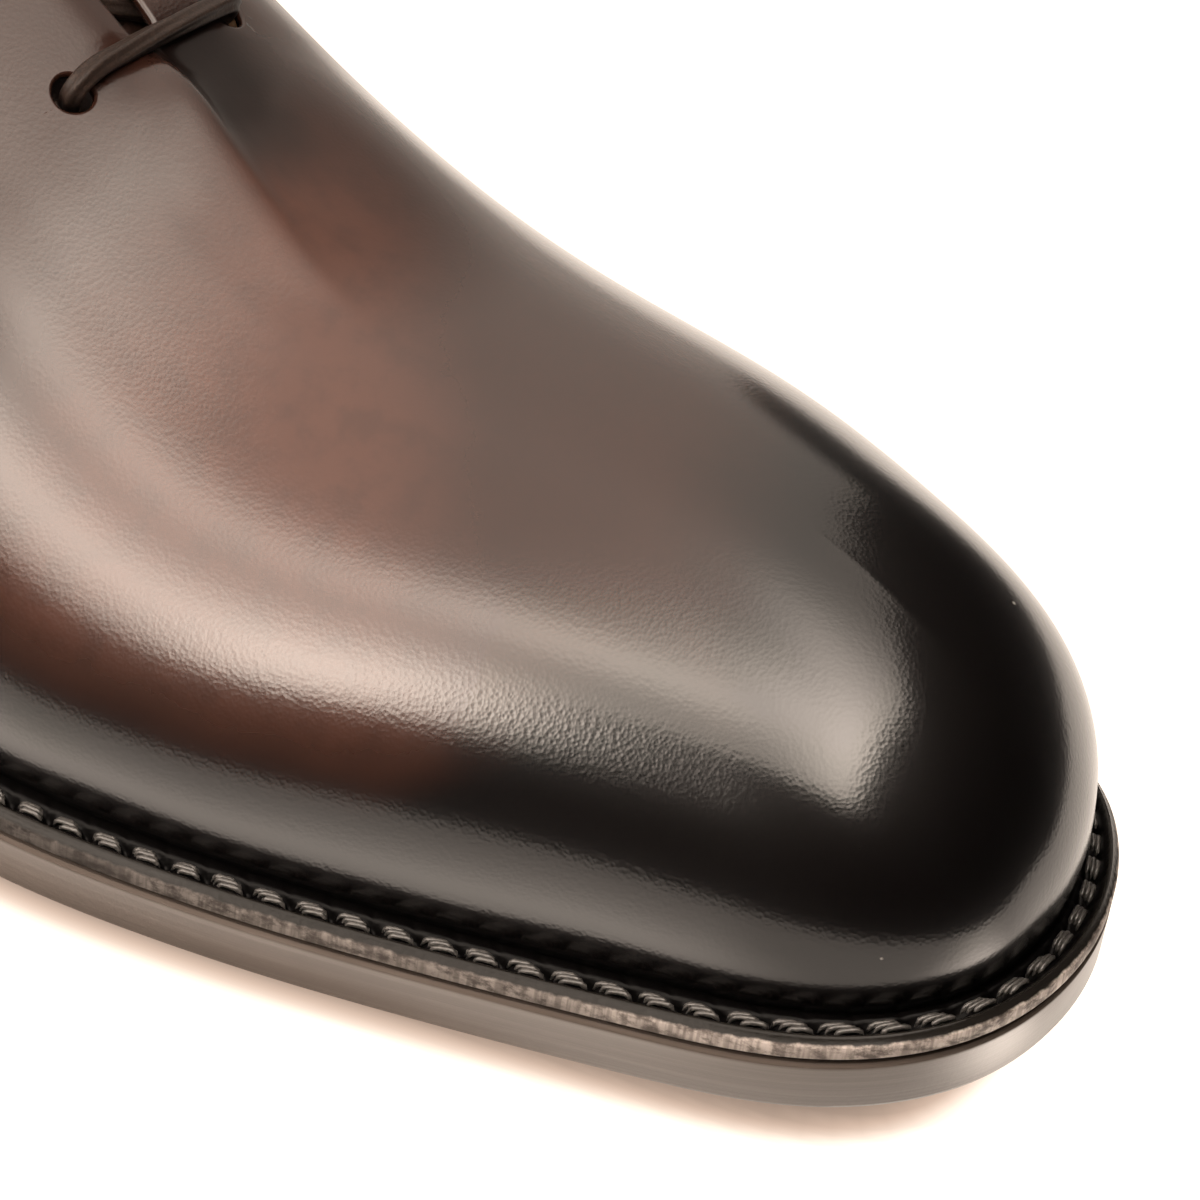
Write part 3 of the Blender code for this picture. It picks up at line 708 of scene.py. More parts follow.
def axis_of(where, axis):
    return result(where.tree, "SeparateXYZ", axis, {"Vector": where})


def attribute(where, name):
    """Value kept at the mesh's points, such as the height over the sole's underside in millimetres."""
    return result(where.tree, "Attribute", "Fac", {}, attribute_name=name)


def stretch(where, *scale):
    """Coordinates scaled along each axis."""
    return result(where.tree, "Mapping", "Vector", {"Vector": where, "Scale": scale})


def noise(where, scale, detail=3.0, rough=0.5):
    inputs = {"Vector": where, "Scale": scale, "Detail": detail, "Roughness": rough}
    return result(where.tree, "TexNoise", "Fac", inputs)


def bump(height, depth, strength, **under):
    """Relief of a height value, with a depth in metres, on another relief."""
    inputs = {"Height": height, "Strength": strength, "Distance": depth, **under}
    return result(height.tree, "Bump", "Normal", inputs)


def cells(where, scale):
    """Distance to the nearest of many scattered points."""
    return result(where.tree, "TexVoronoi", "Distance", {"Vector": where, "Scale": scale})


def leather_grain(where, scale):
    """Fine pebbled grain as a height value."""
    return cells(where, scale) + noise(where, scale * 0.6, 2.0)


def toe_marks(where):
    """Shares of the toe's specks of lint and of its one fine scratch."""
    tree = where.tree
    dots = cells(where, LINT_SCALE)
    colour = Value(tree, dots.socket.node.outputs["Color"])
    few = result(tree, "SeparateColor", "Red", {"Color": colour})
    ahead = axis_of(where, "X").along(LINT_FROM, LINT_FROM + LINT_FADE)
    lint = dots.band(0.055, 0.035) * few.band(0.45, 0.5) * ahead
    begin, end = frame_point(SCRATCH)
    long = end - begin
    offset = where.vector("SUBTRACT", begin)
    share = offset.vector("DOT_PRODUCT", long / (long @ long), out="Value")
    held = result(tree, "Clamp", "Result", {"Value": share})
    foot = result(tree, "VectorMath", "Vector", {0: long, "Scale": held}, operation="SCALE")
    away = stretch(offset.vector("SUBTRACT", foot), 1.0, 1.0, 0.25)
    return lint, away.vector("LENGTH", out="Value").band(*SCRATCH_WIDE)


def upper_leather():
    """Polished calf, red-brown on the vamp and burnished dark at the toe and lower edge."""
    material, where = new_material("upper_leather")
    wander = (noise(where, 40.0, 3.0, 0.55) - 0.5) * WANDER
    x = axis_of(where, "X") + wander
    y = axis_of(where, "Y")
    pale = x.along(*PALE_BACK) * (x + y * PALE_SKEW).along(*PALE_FRONT) * y.band(*PALE_SIDE)
    mottle = noise(where, 260.0, 3.0, 0.6).band(0.38, 0.7, 0.0, 0.28)
    brown = mottle.mix(pale.mix(*BROWN_TONES), BROWN_MOTTLE)
    toe = (x + y * TOE_SKEW).along(*TOE_DARK)
    level = attribute(where, "rise") + wander * 300.0 - x.along(*LOW_FRONT, 0.0, LOW_RISE)
    dark = toe.most(x.along(*HEEL_DARK) * 0.8).most(level.band(*LOW_DARK))
    # Painted shade: a dark band in the hollow beside the fold, right of its crest, which also takes less coat
    side = frame_point((SHADE_FROM, SHADE_SIDE, 0.0))
    beside = y - (x - side[0]) * SHADE_TURN - side[1]
    shade = beside.band(-0.0025, 0.0005) * beside.band(0.020, 0.006)
    shade = shade * x.along(SHADE_FROM - 4.0, SHADE_FROM) * x.along(SHADE_TO, SHADE_FROM + 4.0)
    lint, nick = toe_marks(where)
    # Burnish of toe, heel and lower edge is the leather's own; the band beside the fold is painted shade in
    # the same dark
    colour = dark.most(shade * 0.85).mix(brown, BURNISH_AND_SHADE)
    away = where.vector("DISTANCE", frame_point(DULL_SPOT), out="Value")
    dull = away.band(DULL_REACH * MM, DULL_REACH * MM * 0.3)
    dull = dull.most(x.along(*DULL_BACK, 0.0, 0.75)).most(shade * 1.3)
    grain = bump(leather_grain(where, 2400.0), 0.00005, 0.18)
    return dress(material, {
        "Base Color": lint.most(nick * 0.6).mix(colour, LINT),
        "Roughness": 0.5,
        "Specular IOR Level": 0.05,
        "Coat Weight": 1.0 - dull * 0.6,
        "Coat Roughness": 0.18,
        "Coat IOR": 1.5,
        "Normal": grain,
        "Coat Normal": grain,
    })


def plain_leather(name, tones, rough, grain_scale, grain_depth):
    """Leather with soft clouding between two tones, and grain."""
    material, where = new_material(name)
    return dress(material, {
        "Base Color": noise(where, 60.0, 4.0, 0.6).band(0.35, 0.68).mix(*tones),
        "Roughness": rough,
        "Normal": bump(leather_grain(where, grain_scale), grain_depth, 0.5),
    })


def welt_leather():
    """Dark waxed welt whose trimmed side is scuffed lighter, with a painted reflection of the bright table on
    it that grows toward the toe.
    """
    material, where = new_material("welt_leather")
    rag = noise(stretch(where, 700.0, 700.0, 250.0), 1.0, 4.0, 0.6)
    high = SOLE_THICK + GAP + WELT_THICK - WELT_BEVEL
    level = attribute(where, "rise") + (rag - 0.5) * 0.5
    inset = attribute(where, "inset")
    side = level.band(high + 0.12, high - 0.12) * inset.band(0.6, 0.3)
    rub = noise(stretch(where, 420.0, 420.0, 700.0), 1.0, 6.0, 0.7)
    scratch = noise(stretch(where, 2200.0, 2200.0, 170.0), 1.0, 2.0)
    worn = rub.band(0.36, 0.58) * noise(where, 130.0).band(0.30, 0.55, 0.45, 1.0)
    worn = worn * scratch.band(0.34, 0.60, 0.45, 1.0)
    x = axis_of(where, "X")
    # Painted reflection on the side: dim toward the back, brightest at the toe
    side_reflection = x.along(195.0, 250.0, 0.3, 1.0) + x.along(255.0, 284.0, 0.0, 1.5)
    lip = inset.band(LIP_FOOT + 0.1, LIP_CREST)
    fibre = bump(rub, 0.0002, 0.5)
    return dress(material, {
        "Base Color": side.mix(lip.mix(*WELT_TOP_TONES), worn.mix(*WELT_SIDE_SCUFF_AND_REFLECTION).scaled(side_reflection)),
        "Roughness": side * 0.30 + lip * -0.16 + 0.40,
        "Specular IOR Level": 0.07,
        "Coat Weight": (1.0 - side) * lip * 0.06,
        "Coat Roughness": 0.22,
        "Normal": bump(noise(where, 1500.0), 0.00012, 0.4, Normal=fibre),
    })


def edge_leather(name, colour, shade):
    """Trimmed leather edge with fine lines that follow the sole, dull along its upper rim."""
    material, where = new_material(name)
    rise = attribute(where, "rise")
    level = {"X": axis_of(where, "X") * 18.0, "Y": axis_of(where, "Y") * 18.0, "Z": rise * 2.2}
    line = noise(result(where.tree, "CombineXYZ", "Vector", level), 1.0, 4.0, 0.6)
    cloud = noise(where, 90.0, 4.0, 0.6).band(0.3, 0.7, 0.0, 0.5)
    shine = rise.band(SOLE_THICK - 0.75, SOLE_THICK - 0.35, 1.0, 0.0)
    ridge = bump(line, 0.00025, 0.25)
    return dress(material, {
        "Base Color": cloud.mix(line.band(0.35, 0.65).mix(colour, shade), colour),
        "Roughness": 0.42,
        "Specular IOR Level": shine * 0.5,
        "Coat Weight": shine * 0.7,
        "Coat Roughness": 0.28,
        "Normal": bump(noise(where, 2200.0), 0.00006, 0.4, Normal=ridge),
    })


def waxed_thread(name, colour, rough, shine):
    """Waxed cord with a dull shine."""
    material, where = new_material(name)
    fibre = noise(where, 3500.0)
    return dress(material, {
        "Base Color": fibre.band(0.4, 0.7).mix(colour, tuple(2.2 * part for part in colour)),
        "Roughness": rough,
        "Specular IOR Level": shine,
        "Normal": bump(fibre, 0.0001, 0.4),
    })


def rubber():
    material, where = new_material("heel_rubber")
    speck = noise(where, 900.0)
    return dress(material, {
        "Base Color": speck.mix(*RUBBER_TONES),
        "Roughness": 0.62,
        "Normal": bump(speck, 0.0001, 0.5),
    })


def glowing(material, colour, strength, base=0.0):
    """The material, made to give light."""
    material.cycles.emission_sampling = "NONE"
    return dress(material, {
        "Emission Color": colour,
        "Emission Strength": strength,
        "Base Color": (base, base, base),
        "Roughness": 0.9,
        "Specular IOR Level": 0.0,
    })


# Upper
def local_height(side, point):
    """Height of the upper's outer face near a point, as a smooth function of the place in plan."""
    grid = FINE[side].reshape(-1, 3)
    close = grid[np.linalg.norm(grid[:, :2] - point[:2], axis=1) < 2.5 * EYELET_RADIUS]

    def terms(x, y):
        dx = x - point[0]
        dy = y - point[1]
        return np.stack([np.ones_like(dx), dx, dy, dx * dx, dx * dy, dy * dy], axis=-1)

    shape = np.linalg.lstsq(terms(close[:, 0], close[:, 1]), close[:, 2], rcond=None)[0]
    return lambda x, y: terms(x, y) @ shape + fold_lift(x, y)


def punch_eyelet(shell, side, row, radius):
    """Cuts one eyelet out of the leather and closes the cut with even rings."""
    point, normal = on_side(side, eyelet_x(row), side * EYELET_HALF)
    height = local_height(side, point)
    point[2] = height(point[0], point[1])

    def away(spot):
        return np.linalg.norm(np.array(spot) - point) / radius

    gone = [face for face in shell.faces if away(face.calc_center_median()) < CUT_REACH]
    bmesh.ops.delete(shell, geom=gone, context="FACES")
    rims = [edge for edge in shell.edges if len(edge.link_faces) == 1]
    loose = [edge for edge in rims if away(edge.verts[0].co) < RIM_REACH]
    across = unit(np.cross(normal, (1.0, 0.0, 0.0)))
    along = np.cross(across, normal)
    turns = np.linspace(0.0, math.tau, EYELET_SIDES, endpoint=False)
    ring = np.outer(np.cos(turns), along) + np.outer(np.sin(turns), across)
    rings = []
    for reach in (radius + EYELET_ROLL, radius):
        x, y, _ = (point + ring * reach).T
        rings.append([shell.verts.new(spot) for spot in zip(x, y, height(x, y))])
    outer, inner = rings
    edges = [shell.edges.new((outer[i - 1], outer[i])) for i in range(EYELET_SIDES)]
    made = bmesh.ops.bridge_loops(shell, edges=loose + edges)["faces"]
    for i in range(EYELET_SIDES):
        made.append(shell.faces.new([outer[i - 1], outer[i], inner[i], inner[i - 1]]))
    for face in made:
        face.normal_update()
        if np.array(face.normal) @ normal < 0.0:
            face.normal_flip()


def lasted_wave(x, y, z):
    """Slight waves of the wall just over the welt, where the leather was pulled over the last."""
    rise = z - upper_low(x)
    if rise > WAVE_RISE * 4.0 or rise < 0.02:
        return 0.0
    run = x * 0.6 - y
    wave = math.sin(math.tau * run / WAVE_LONG) + 0.7 * math.sin(math.tau * run / WAVE_SHORT + 1.3)
    return WAVE_DEEP * wave * math.exp(-((rise / WAVE_RISE) ** 2))


def make_shell(name, shares, levels, outside, inside, roll, material, node=None):
    """Closed shell between two depths under the upper's outer face, with rolled rims."""
    shell = bmesh.new()
    for side in (-1, 1):
        grid = upper_grid(side, shares, levels)
        grid[:, :, 2] += fold_lift(grid[:, :, 0], grid[:, :, 1])
        add_sheet(shell, grid, side > 0)
    weld(shell, 0.01)
    for row in range(EYELET_ROWS):
        for side in (-1, 1):
            punch_eyelet(shell, side, row, EYELET_RADIUS + EYELET_WIDER * outside)
    shell.normal_update()
    faces = list(shell.faces)
    rims = [edge for edge in shell.edges if len(edge.link_faces) == 1]
    starts = {vert: np.array(vert.co) for vert in shell.verts}
    footing = {vert for vert, start in starts.items() if abs(start[2] - upper_low(start[0])) < 0.01}
    normals = {}
    for vert in shell.verts:
        normal = np.array(vert.normal)
        if vert in footing:
            normal = unit(normal * (1.0, 1.0, 0.0))
        normals[vert] = normal
    beyond = {}
    for edge in rims:
        for vert in edge.verts:
            away = starts[vert] - np.array(edge.link_faces[0].calc_center_median())
            beyond[vert] = beyond.get(vert, 0.0) + away
    inner = {}
    middle = {}
    for vert, start in starts.items():
        start += normals[vert] * lasted_wave(*start)
        inner[vert] = shell.verts.new(start - normals[vert] * inside)
        vert.co = start - normals[vert] * outside
        if vert in beyond:
            out = beyond[vert] - normals[vert] * (beyond[vert] @ normals[vert])
            out = unit(out) * (0.0 if vert in footing else roll)
            middle[vert] = shell.verts.new(start - normals[vert] * (outside + inside) / 2.0 + out)
    for face in faces:
        shell.faces.new([inner[vert] for vert in reversed(face.verts)])
    for edge in rims:
        first, second = edge.verts
        shell.faces.new([first, second, middle[second], middle[first]])
        shell.faces.new([middle[first], middle[second], inner[second], inner[first]])
    new_piece(name, shell, material, node)


def skin_shares(back, throat, front):
    """Sections from heel to toe, closer together along the throat and closest at the slit's base."""
    base = SLIT_SHARE - np.array(BASE_STEPS)
    return np.concatenate([
        np.linspace(0.0, COLLAR_SHARE, back)[:-1],
        np.linspace(COLLAR_SHARE, base[0], throat)[:-1],
        base,
        np.linspace(SLIT_SHARE, 1.0, front),
    ])


def skin_levels(low, high, top):
    """Levels up a section, closer together on top."""
    return np.concatenate([np.linspace(0.0, BEND_LEVEL, low)[:-1], np.linspace(BEND_LEVEL, top, high)])


def make_upper():
    make_shell("upper_skin", skin_shares(56, 96, 96), skin_levels(48, 42, 1.0), 0.0, LEATHER, RIM_ROLL,
               upper_leather(), "upper")
    lining = plain_leather("lining_leather", LINING_TONES, 0.6, 1800.0, 0.0001)
    make_shell("upper_lining", skin_shares(40, 60, 40), skin_levels(26, 28, LINING_TOP), LEATHER + 0.05,
               WALL, 0.0, lining)


def make_tongue():
    """Tongue under the throat, seated under the vamp at its front end."""
    shares = np.linspace(COLLAR_SHARE, SLIT_SHARE + TONGUE_UNDER, 60)
    halves = np.interp(shares, [COLLAR_SHARE, SLIT_SHARE], [TONGUE_HALF_TOP, TONGUE_HALF])
    ease = soft_step((SLIT_SHARE + 0.7 * TONGUE_UNDER - shares) / (0.6 * TONGUE_UNDER))
    depth = (WALL + GAP + (TONGUE_ROOM - GAP) * ease)[:, None, None]
    leaves = []
    for side in (-1, 1):
        grid = upper_grid(side, shares, np.linspace(0.2, 1.0, 241))
        faced = np.concatenate([grid, grid_normals(grid, side)], axis=2)[:, ::-1]
        leaf = []
        for line, half in zip(faced, halves):
            leaf.append(lookup(np.linspace(0.0, half, TONGUE_POINTS), run_along(line[:, :3]), line))
        leaves.append(np.array(leaf)[:, ::side])
    top, turn = np.split(np.concatenate(leaves, axis=1), 2, axis=2)
    closed = shares >= SLIT_SHARE
    middle = slice(TONGUE_POINTS - 1, TONGUE_POINTS + 1)
    turn[closed, middle] = unit(turn[closed, middle].sum(axis=1, keepdims=True))
    sunk = fold_lift(top[:, :, 0], top[:, :, 1])
    top = top - turn * depth
    top[:, :, 2] += sunk
    low = top - turn * TONGUE_THICK
    heart = top[0].mean(axis=0)
    ends = []
    for back, up, narrow in TONGUE_END_ROWS:
        ends.append(heart + (top[0] - heart) * (1.0, narrow, narrow) + (-back, 0.0, up))
    low = np.concatenate([ends + low[0] - top[0], low])
    top = np.concatenate([ends, top])
    # Its brown is darkened as painted shade for the dim gap of the throat
    material = plain_leather("tongue_leather", TONGUE_TONES_SHADED, 0.45, 2400.0, 0.00008)
    new_piece("tongue_leaf", stacked([low, top], 0.02), material, "tongue", hard=50.0)


# Bottom
def between(inner, outer, across):
    """Plan rows across the shoe between two lines."""
    step = np.linspace(0.0, 1.0, across + 1)[None, :, None]
    return inner[:, None, :] * (1.0 - step) + outer[:, None, :] * step


def plate_rows(along, across):
    """Plan rows of the whole shoe, for a given inset of its edge."""
    shares = np.linspace(0.0, 1.0, along)
    return lambda inset: between(half_line(-1, inset, shares), half_line(1, inset, shares), across)


def make_plate(name, layers, rows_for, material, node):
    """Solid from stacked layers, each an inset of the outline and a height over the plan."""
    grids = []
    for inset, height in layers:
        plan = rows_for(inset)
        grids.append(np.concatenate([plan, height(plan[:, :, 0])[:, :, None]], axis=2))
    new_piece(name, stacked(grids, 0.01), material, node, hard=40.0)


def make_outsole():
    """Outsole with rounded edges, its arch, heel seat and toe spring."""
    layers = [(constant(inset), lambda x, up=up: sole_bottom(x) + up) for inset, up in SOLE_PROFILE]
    material = edge_leather("sole_edge", *SOLE_TONES)
    make_plate("outsole_body", layers, plate_rows(260, 8), material, "outsole")


def make_insole():
    """Insole with its sock, inside the welt and the upper's lower edge."""

    def inset(x):
        return welt_reach(x) + WELT_UNDER + GAP

    layers = [
        (inset, welt_low),
        (inset, lambda x: upper_low(x) + INSOLE_RISE - SOCK_ROUND),
        (lambda x: inset(x) + SOCK_ROUND, lambda x: upper_low(x) + INSOLE_RISE),
    ]
    material = plain_leather("sock_leather", SOCK_TONES, 0.6, 1800.0, 0.0001)
    make_plate("insole_sock", layers, plate_rows(120, 12), material, "insole")


def heel_rows(inset):
    """Plan rows of the heel, with its hollow breast as the last row."""
    fine = np.linspace(0.0, 0.5, 801)
    along = np.linspace(0.0, 1.0, 65)
    sides = []
    for side in (-1, 1):
        end = float(np.interp(HEEL_BREAST, half_line(side, inset, fine)[:, 0], fine))
        sides.append(half_line(side, inset, along * end))
    rows = between(*sides, 16)
    bow = (1.0 - np.linspace(-1.0, 1.0, 17) ** 2) * BREAST_HOLLOW
    rows[:, :, 0] -= np.outer(along ** 3, bow)
    return rows


def make_heel():
    """Stacked lifts with fine joints between them, on a rubber top piece."""
    layers = []
    for lift in range(HEEL_LIFTS):
        for share, sunk in LIFT_PROFILE:
            up = (lift + share) / HEEL_LIFTS
            inset = HEEL_INSET_LOW + (HEEL_INSET_TOP - HEEL_INSET_LOW) * up
            inset += HEEL_WAIST * 4.0 * up * (1.0 - up) + sunk

            def height(x, up=up):
                return (TOP_PIECE + GAP) * (1.0 - up) + (sole_bottom(x) - GAP) * up

            layers.append((constant(inset), height))
    material = edge_leather("heel_edge", *HEEL_TONES)
    make_plate("heel_lifts", layers, heel_rows, material, "heel_stack")
    layers = [(constant(HEEL_INSET_LOW + inset), constant(up)) for inset, up in TIP_PROFILE]
    make_plate("heel_tip", layers, heel_rows, rubber(), "top_piece")


def welt_relief(run, inset, x):
    """Height of the welt's top: a lip, the stitches' channel, their pricks and wheel marks."""
    forepart = soft_step((x - STITCH_BACK) / 8.0)
    lip = LIP_RISE * np.exp(-((inset - LIP_CREST) / 0.3) ** 2)
    phase = np.abs((run / STITCH_PITCH) % 1.0 - 0.5) * STITCH_PITCH
    to_prick = STITCH_PITCH / 2.0 - phase
    channel = soft_step((inset - LIP_CREST - 0.2) / (LIP_FOOT - LIP_CREST))
    channel *= soft_step((CHANNEL_BACK - inset) / 0.5)
    pit = np.exp(-((inset - STITCH_IN) / PRICK_HALF) ** 4 - (to_prick / PRICK_HALF) ** 2)
    behind = soft_step((inset - CHANNEL_BACK + 0.4) / 0.4) * soft_step((welt_reach(x) + 0.5 - inset) / 0.4)
    mark = behind * np.exp(-(to_prick / 0.5) ** 2)
    return lip - forepart * (CHANNEL_DEEP * channel + PRICK_DEEP * pit + MARK_DEEP * mark)


def stitch_run(side, shares):
    """Distance from the toe's tip along the line of the stitches."""
    run = run_along(half_line(side, constant(STITCH_IN), shares))
    return run[-1] - run


def make_welt():
    """Welt strip round the upper with its bevelled lip, channel and wheel marks."""
    shares = np.linspace(0.0, 1.0, 1100)
    strip = bmesh.new()
    insets = []
    for side in (-1, 1):
        run = stitch_run(side, shares)
        lines = []

        def edge_line(inset, height):
            plan = half_line(side, inset, shares)
            lines.append(np.column_stack([plan, height(plan[:, 0])]))
            insets.append(inset(plan[:, 0]))

        edge_line(lambda x: welt_reach(x) + WELT_UNDER, welt_low)
        for inset, up in WELT_PROFILE:
            edge_line(constant(inset), lambda x: welt_low(x) + up)
        for inset in [*np.linspace(0.7, LIP_FOOT, 6), *np.linspace(LIP_FOOT + 0.2, 4.2, 15)]:
            edge_line(constant(inset), lambda x: welt_top(x) + welt_relief(run, inset, x))
        edge_line(lambda x: welt_reach(x) + WELT_UNDER, welt_top)
        lines.append(lines[0])
        insets.append(insets[-1])
        add_sheet(strip, lines, side > 0)
    keep_values(strip, "inset", np.concatenate(insets))
    weld(strip, 0.01)
    new_piece("welt_strip", strip, welt_leather(), "welt", hard=60.0)


def make_stitches():
    """Waxed stitches along the welt, each of a few strands side by side, as one joined mesh."""
    rows = bmesh.new()
    shares = np.linspace(0.0, 1.0, 4000)
    step = np.linspace(-1.0, 1.0, 9)
    rng = np.random.default_rng(7)

    def thick(share, angles, gone):
        return STRAND_RADIUS * math.sqrt(max(0.1, 1.0 - abs(2.0 * share - 1.0) ** 5))

    for side in (-1, 1):
        run = stitch_run(side, shares)
        lines = {}
        for strand in range(STITCH_STRANDS):
            aside = (strand - (STITCH_STRANDS - 1) / 2.0) * STRAND_APART
            lines[aside] = half_line(side, constant(STITCH_IN + aside), shares)
        reach = np.interp(STITCH_BACK + 4.0, lines[0.0][:, 0], run)
        for number in range(int(reach / STITCH_PITCH)):
            middle = (number + 0.5) * STITCH_PITCH
            slant = STITCH_SLANT + rng.normal(0.0, 0.05)
            for aside, plan in lines.items():
                shift = aside * 0.5 + rng.normal(0.0, 0.12)
                steps = middle + shift + step * STITCH_LONG / 2.0 * rng.uniform(0.86, 1.04)
                x, y = lookup(steps, run[::-1], plan[::-1]).T
                hump = 0.22 - 0.10 * abs(aside) / STRAND_APART + rng.normal(0.0, 0.03)
                z = welt_top(x) - CHANNEL_DEEP + STRAND_RADIUS * 0.6 + hump - 0.95 * np.abs(step) ** 5
                add_tube(rows, np.column_stack([x, y + side * slant * step, z]), thick, 8)
    new_piece("welt_stitches", rows, waxed_thread("welt_thread", WELT_THREAD, 0.30, 0.5))


# Lace and seams
def lace_route():
    """Middle of the lace: along the inner side, over each row and across under the next."""
    over = LACE_RADIUS + LACE_REST
    under = -WALL - LACE_RADIUS - LACE_CLEAR
    half = EYELET_HALF
    dive = [
        (half - 0.5, over * 0.75),
        (half, -WALL * 0.1),
        (half, -WALL * 0.75),
        (half - 0.1, under + LACE_DROP),
    ]
    flat = half - LACE_SHOULDER
    route = []
    bars = []
    for x in np.linspace(eyelet_x(EYELET_ROWS - 1), eyelet_x(0) - RUN_SHORT, 9):
        route.append((x, -RUN_HALF, under))
    route.append((eyelet_x(0) - RUN_SHORT * 0.4, (-RUN_HALF * 2.0 - half) / 3.0, under))
    for row in range(EYELET_ROWS):
        x = eyelet_x(row)
        route.extend((x, -off, lift) for off, lift in dive[::-1])
        bars.append(slice(len(route), len(route) + BAR_POINTS))
        route.extend((x, off, over) for off in np.linspace(-flat, flat, BAR_POINTS))
        route.extend((x, off, lift) for off, lift in dive)
        if row < EYELET_ROWS - 1:
            after = eyelet_x(row + 1)
            for share in np.linspace(0.14, 0.86, 5):
                route.append((x + (after - x) * share, half - 2.0 * half * share, under))
    line = np.array([on_throat(*spot) for spot in route])
    line[:, 2] += fold_lift(line[:, 0], line[:, 1])
    share = np.linspace(0.0, 1.0, BAR_POINTS)
    arch = 4.0 * share * (1.0 - share)
    for bar in bars:
        begin, *_, end = line[bar]
        straight = begin + np.outer(share, end - begin)
        short = line[bar, 2] - straight[:, 2] - BAR_PRESS
        straight[:, 2] += arch * max(BAR_BOW, (short[1:-1] / arch[1:-1]).max())
        line[bar] = straight
    return line


def smooth_line(points, step):
    """Even points on a smooth line through a route."""
    run = run_along(points)
    line = curve_through(points, run, np.linspace(0.0, run[-1], int(run[-1] / 0.1)))
    long = run_along(line)[-1]
    return resample(line, np.linspace(0.0, long, int(round(long / step)) + 1))


def make_lace():
    """Round waxed lace of twisted strands, through every eyelet."""
    cord = bmesh.new()

    def thick(share, angles, gone):
        return LACE_RADIUS * (1.0 + STRAND_DEPTH * np.cos(STRANDS * angles + math.tau * gone / STRAND_TURN))

    add_tube(cord, smooth_line(lace_route(), 0.5), thick, 30)
    new_piece("lace_cord", cord, waxed_thread("lace_cotton", LACE_BLACK, 0.52, 0.2), "lace")


def make_collar_seam():
    """Row of stitches under the collar's edge."""
    seam = bmesh.new()
    step = np.linspace(-0.5, 0.5, 6)
    sunk = (2.0 * step[:, None]) ** 2 * 0.3 - 0.05
    for side in (-1, 1):
        grid = upper_grid(side, np.linspace(0.0, COLLAR_SHARE, 1200), np.linspace(0.9, 1.0, 101))
        down = [np.searchsorted(run_along(section[::-1]), SEAM_IN) for section in grid]
        spots = (np.arange(len(grid)), -1 - np.array(down))
        line = grid[spots]
        turns = grid_normals(grid, side)[spots]
        run = run_along(line)
        for number in range(int(run[-1] / SEAM_PITCH)):
            steps = (number + 0.5) * SEAM_PITCH + step * SEAM_LONG
            stitch = lookup(steps, run, line) - lookup(steps, run, turns) * sunk
            add_tube(seam, stitch, lambda share, angles, gone: SEAM_RADIUS, 6)
    new_piece("collar_stitches", seam, waxed_thread("seam_thread", SEAM_BROWN, 0.40, 0.4))


# Stage
def make_camera():
    """Camera at the photo's angle to the shoe."""
    turn, rise, roll = np.radians([VIEW_TURN, VIEW_RISE, VIEW_ROLL])
    back = np.array([math.sin(turn) * math.cos(rise), -math.cos(turn) * math.cos(rise), math.sin(rise)])
    right = np.array([math.cos(turn), math.sin(turn), 0.0])
    up = np.cross(back, right)
    data = bpy.data.cameras.new("view")
    data.sensor_width = SENSOR
    data.lens = LENS
    data.clip_start = 0.01
    camera = bpy.data.objects.new("view", data)
    bpy.context.scene.collection.objects.link(camera)
    matrix = np.eye(4)
    matrix[:3, 0] = right * math.cos(roll) + up * math.sin(roll)
    matrix[:3, 1] = up * math.cos(roll) - right * math.sin(roll)
    matrix[:3, 2] = back
    matrix[:3, 3] = frame_point(VIEW_AT + back * VIEW_AWAY)
    camera.matrix_world = Matrix(matrix.tolist())
    bpy.context.scene.camera = camera


def set_stage(name, mesh_data, material, unseen=()):
    """Floor, light or backdrop from a bmesh in metres, unseen by some kinds of rays."""
    made = new_object(name, mesh_data, material)
    for ray in unseen:
        setattr(made, "visible_" + ray, False)


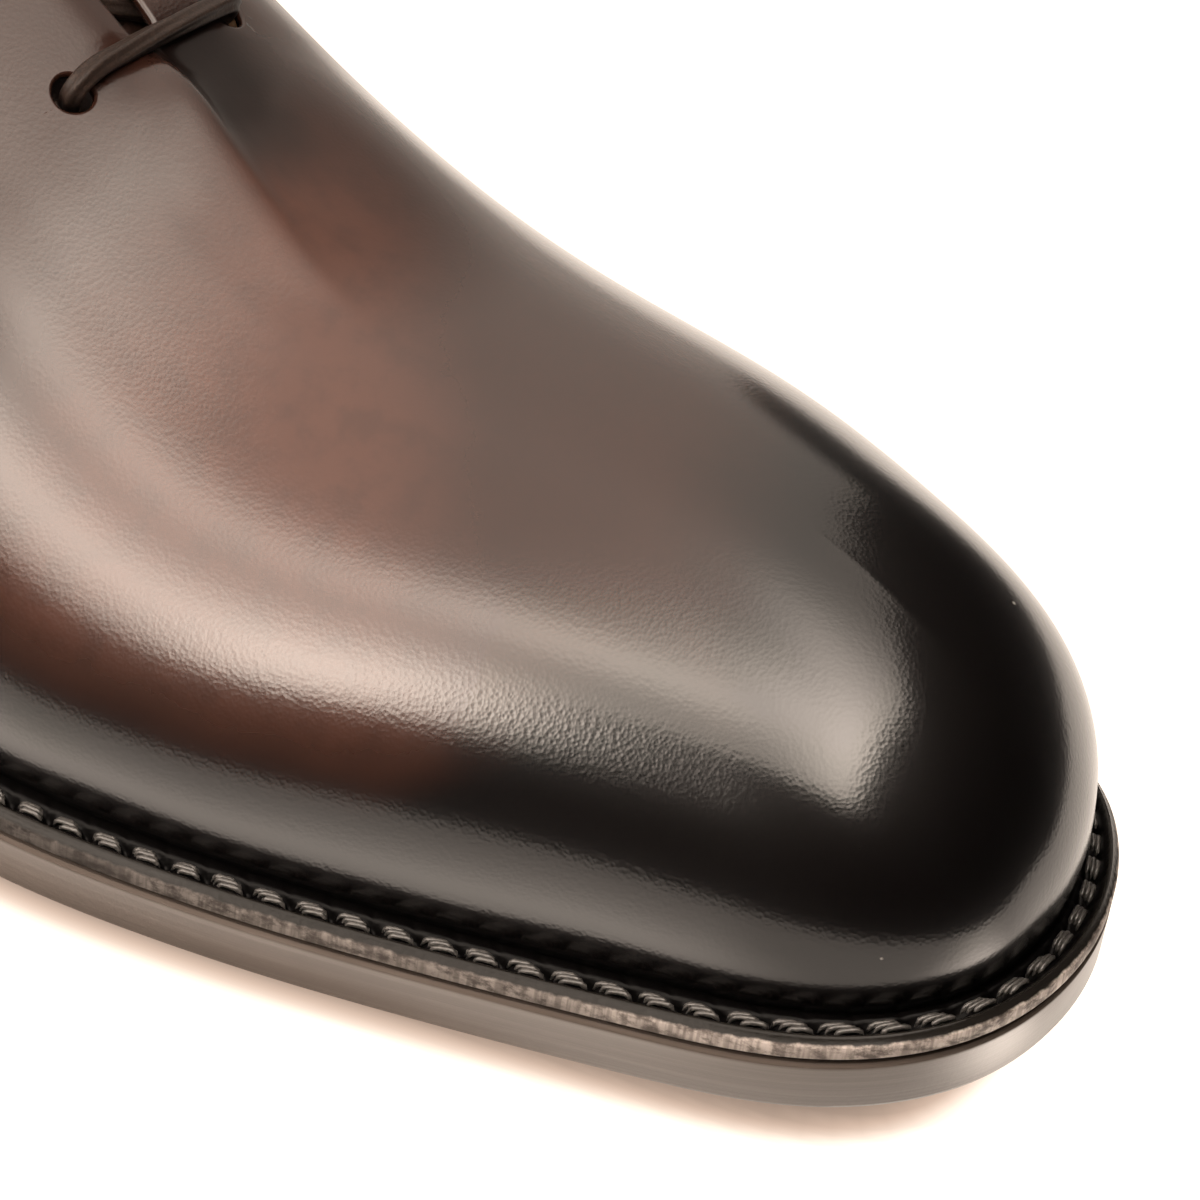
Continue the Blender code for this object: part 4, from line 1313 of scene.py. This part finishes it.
def make_table():
    """White table, warmer where the sole's edge shades it, that ends a little past the shoe."""
    step = len(EDGE_LOOP) // TABLE_SIDES
    edge = EDGE_LOOP[::step]
    rings = [inset_loop(constant(-away))[::step] for away in TABLE_RINGS]
    outline = np.array([*TABLE_EDGE, TABLE_EDGE[0]])
    outline = resample(outline, np.linspace(0.0, run_along(outline)[-1], 4001))
    bearings = [np.arctan2(*(line - TABLE_MIDDLE).T[::-1]) for line in (outline, rings[-1])]
    turned = np.angle(np.exp(1j * (bearings[0] - bearings[1][:, None])))
    rings.append(outline[np.abs(turned).argmin(axis=1)])
    grid = np.zeros((len(rings), len(edge), 3))
    grid[:, :, :2] = (np.array(rings) - ORIGIN[:2]) * MM
    near = 1.0 - soft_step((edge[:, 1] - TABLE_FAR) / TABLE_FAR_FADE)
    near *= 1.0 - TABLE_TOE_DIM * soft_step((edge[:, 0] - TABLE_TOE) / TABLE_TOE_FADE)
    near += TOE_LIGHT_GAIN * np.exp(-(np.linalg.norm(edge - TOE_LIGHT, axis=1) / TOE_LIGHT_REACH) ** 2)
    away = np.array([*TABLE_RINGS, TABLE_RINGS[-1]])[:, None]
    lifted = away + SHADE_LIFT * sole_bottom(edge[:, 0])
    glows = np.maximum(row_value(lifted, SHADE_ROWS), row_value(away, TABLE_ROWS) * near)
    table = bmesh.new()
    table.faces.new(add_sheet(table, grid, closed=True)[0])
    keep_values(table, "away", lifted.ravel())
    keep_values(table, "glow", glows.ravel())
    material, where = new_material("table_white")
    tint = attribute(where, "away").band(0.5, 4.0).mix(SHADE_COLOUR, TENT_COLOUR)
    set_stage("table", table, glowing(material, tint, attribute(where, "glow"), 0.03))


def make_tent():
    """Light tent: a round of soft white over the shoe, open in front, brightest at its lamps."""
    tent = bmesh.new()
    grid = []
    glows = []
    for angle in np.linspace(TENT_ROWS[0][0], TENT_ROWS[-1][0], 64):
        front = row_value(angle, TENT_ROWS)
        along = np.append(np.linspace(TENT_BACK, TENT_FINE, 6)[:-1], np.linspace(TENT_FINE, front, 34))
        glow = np.full(len(along), TENT_GLOW)
        for middle, spread, begin, end, fade, bright in LAMP_ROWS:
            past = np.clip(np.maximum(begin - along, along - end), 0.0, None) / fade
            glow += bright * np.exp(-0.5 * (past ** 2 + ((angle - middle) / spread) ** 2))
        glows.extend(glow * row_value(angle, TENT_DIM_ROWS))
        turn = math.radians(angle)
        ways = [(share, -math.cos(turn), math.sin(turn)) for share in along]
        grid.append(frame_point(TENT_AXIS + np.array(ways) * TENT_RADIUS))
    add_sheet(tent, grid)
    keep_values(tent, "glow", glows)
    material, where = new_material("tent_light")
    set_stage("tent", tent, glowing(material, TENT_COLOUR, attribute(where, "glow")), ["camera"])


def make_backdrop():
    """Pale room round the table, which lights nothing, and the dark beyond it."""
    dome = bmesh.new()
    bmesh.ops.create_icosphere(dome, subdivisions=3, radius=BACKDROP_RADIUS)
    white = glowing(new_material("backdrop_white")[0], (1.0, 1.0, 1.0), BACKDROP_GLOW)
    set_stage("backdrop", dome, white, ["diffuse", "glossy", "transmission", "shadow"])
    world = bpy.data.worlds.new("room")
    world.use_nodes = True
    fill(world.node_tree.nodes["Background"], {"Color": (0.01, 0.01, 0.01)})
    bpy.context.scene.world = world
    bpy.context.scene.view_settings.view_transform = "Standard"


make_camera()
make_table()
make_tent()
make_backdrop()
make_outsole()
make_heel()
make_welt()
make_stitches()
make_insole()
make_upper()
make_tongue()
make_collar_seam()
make_lace()
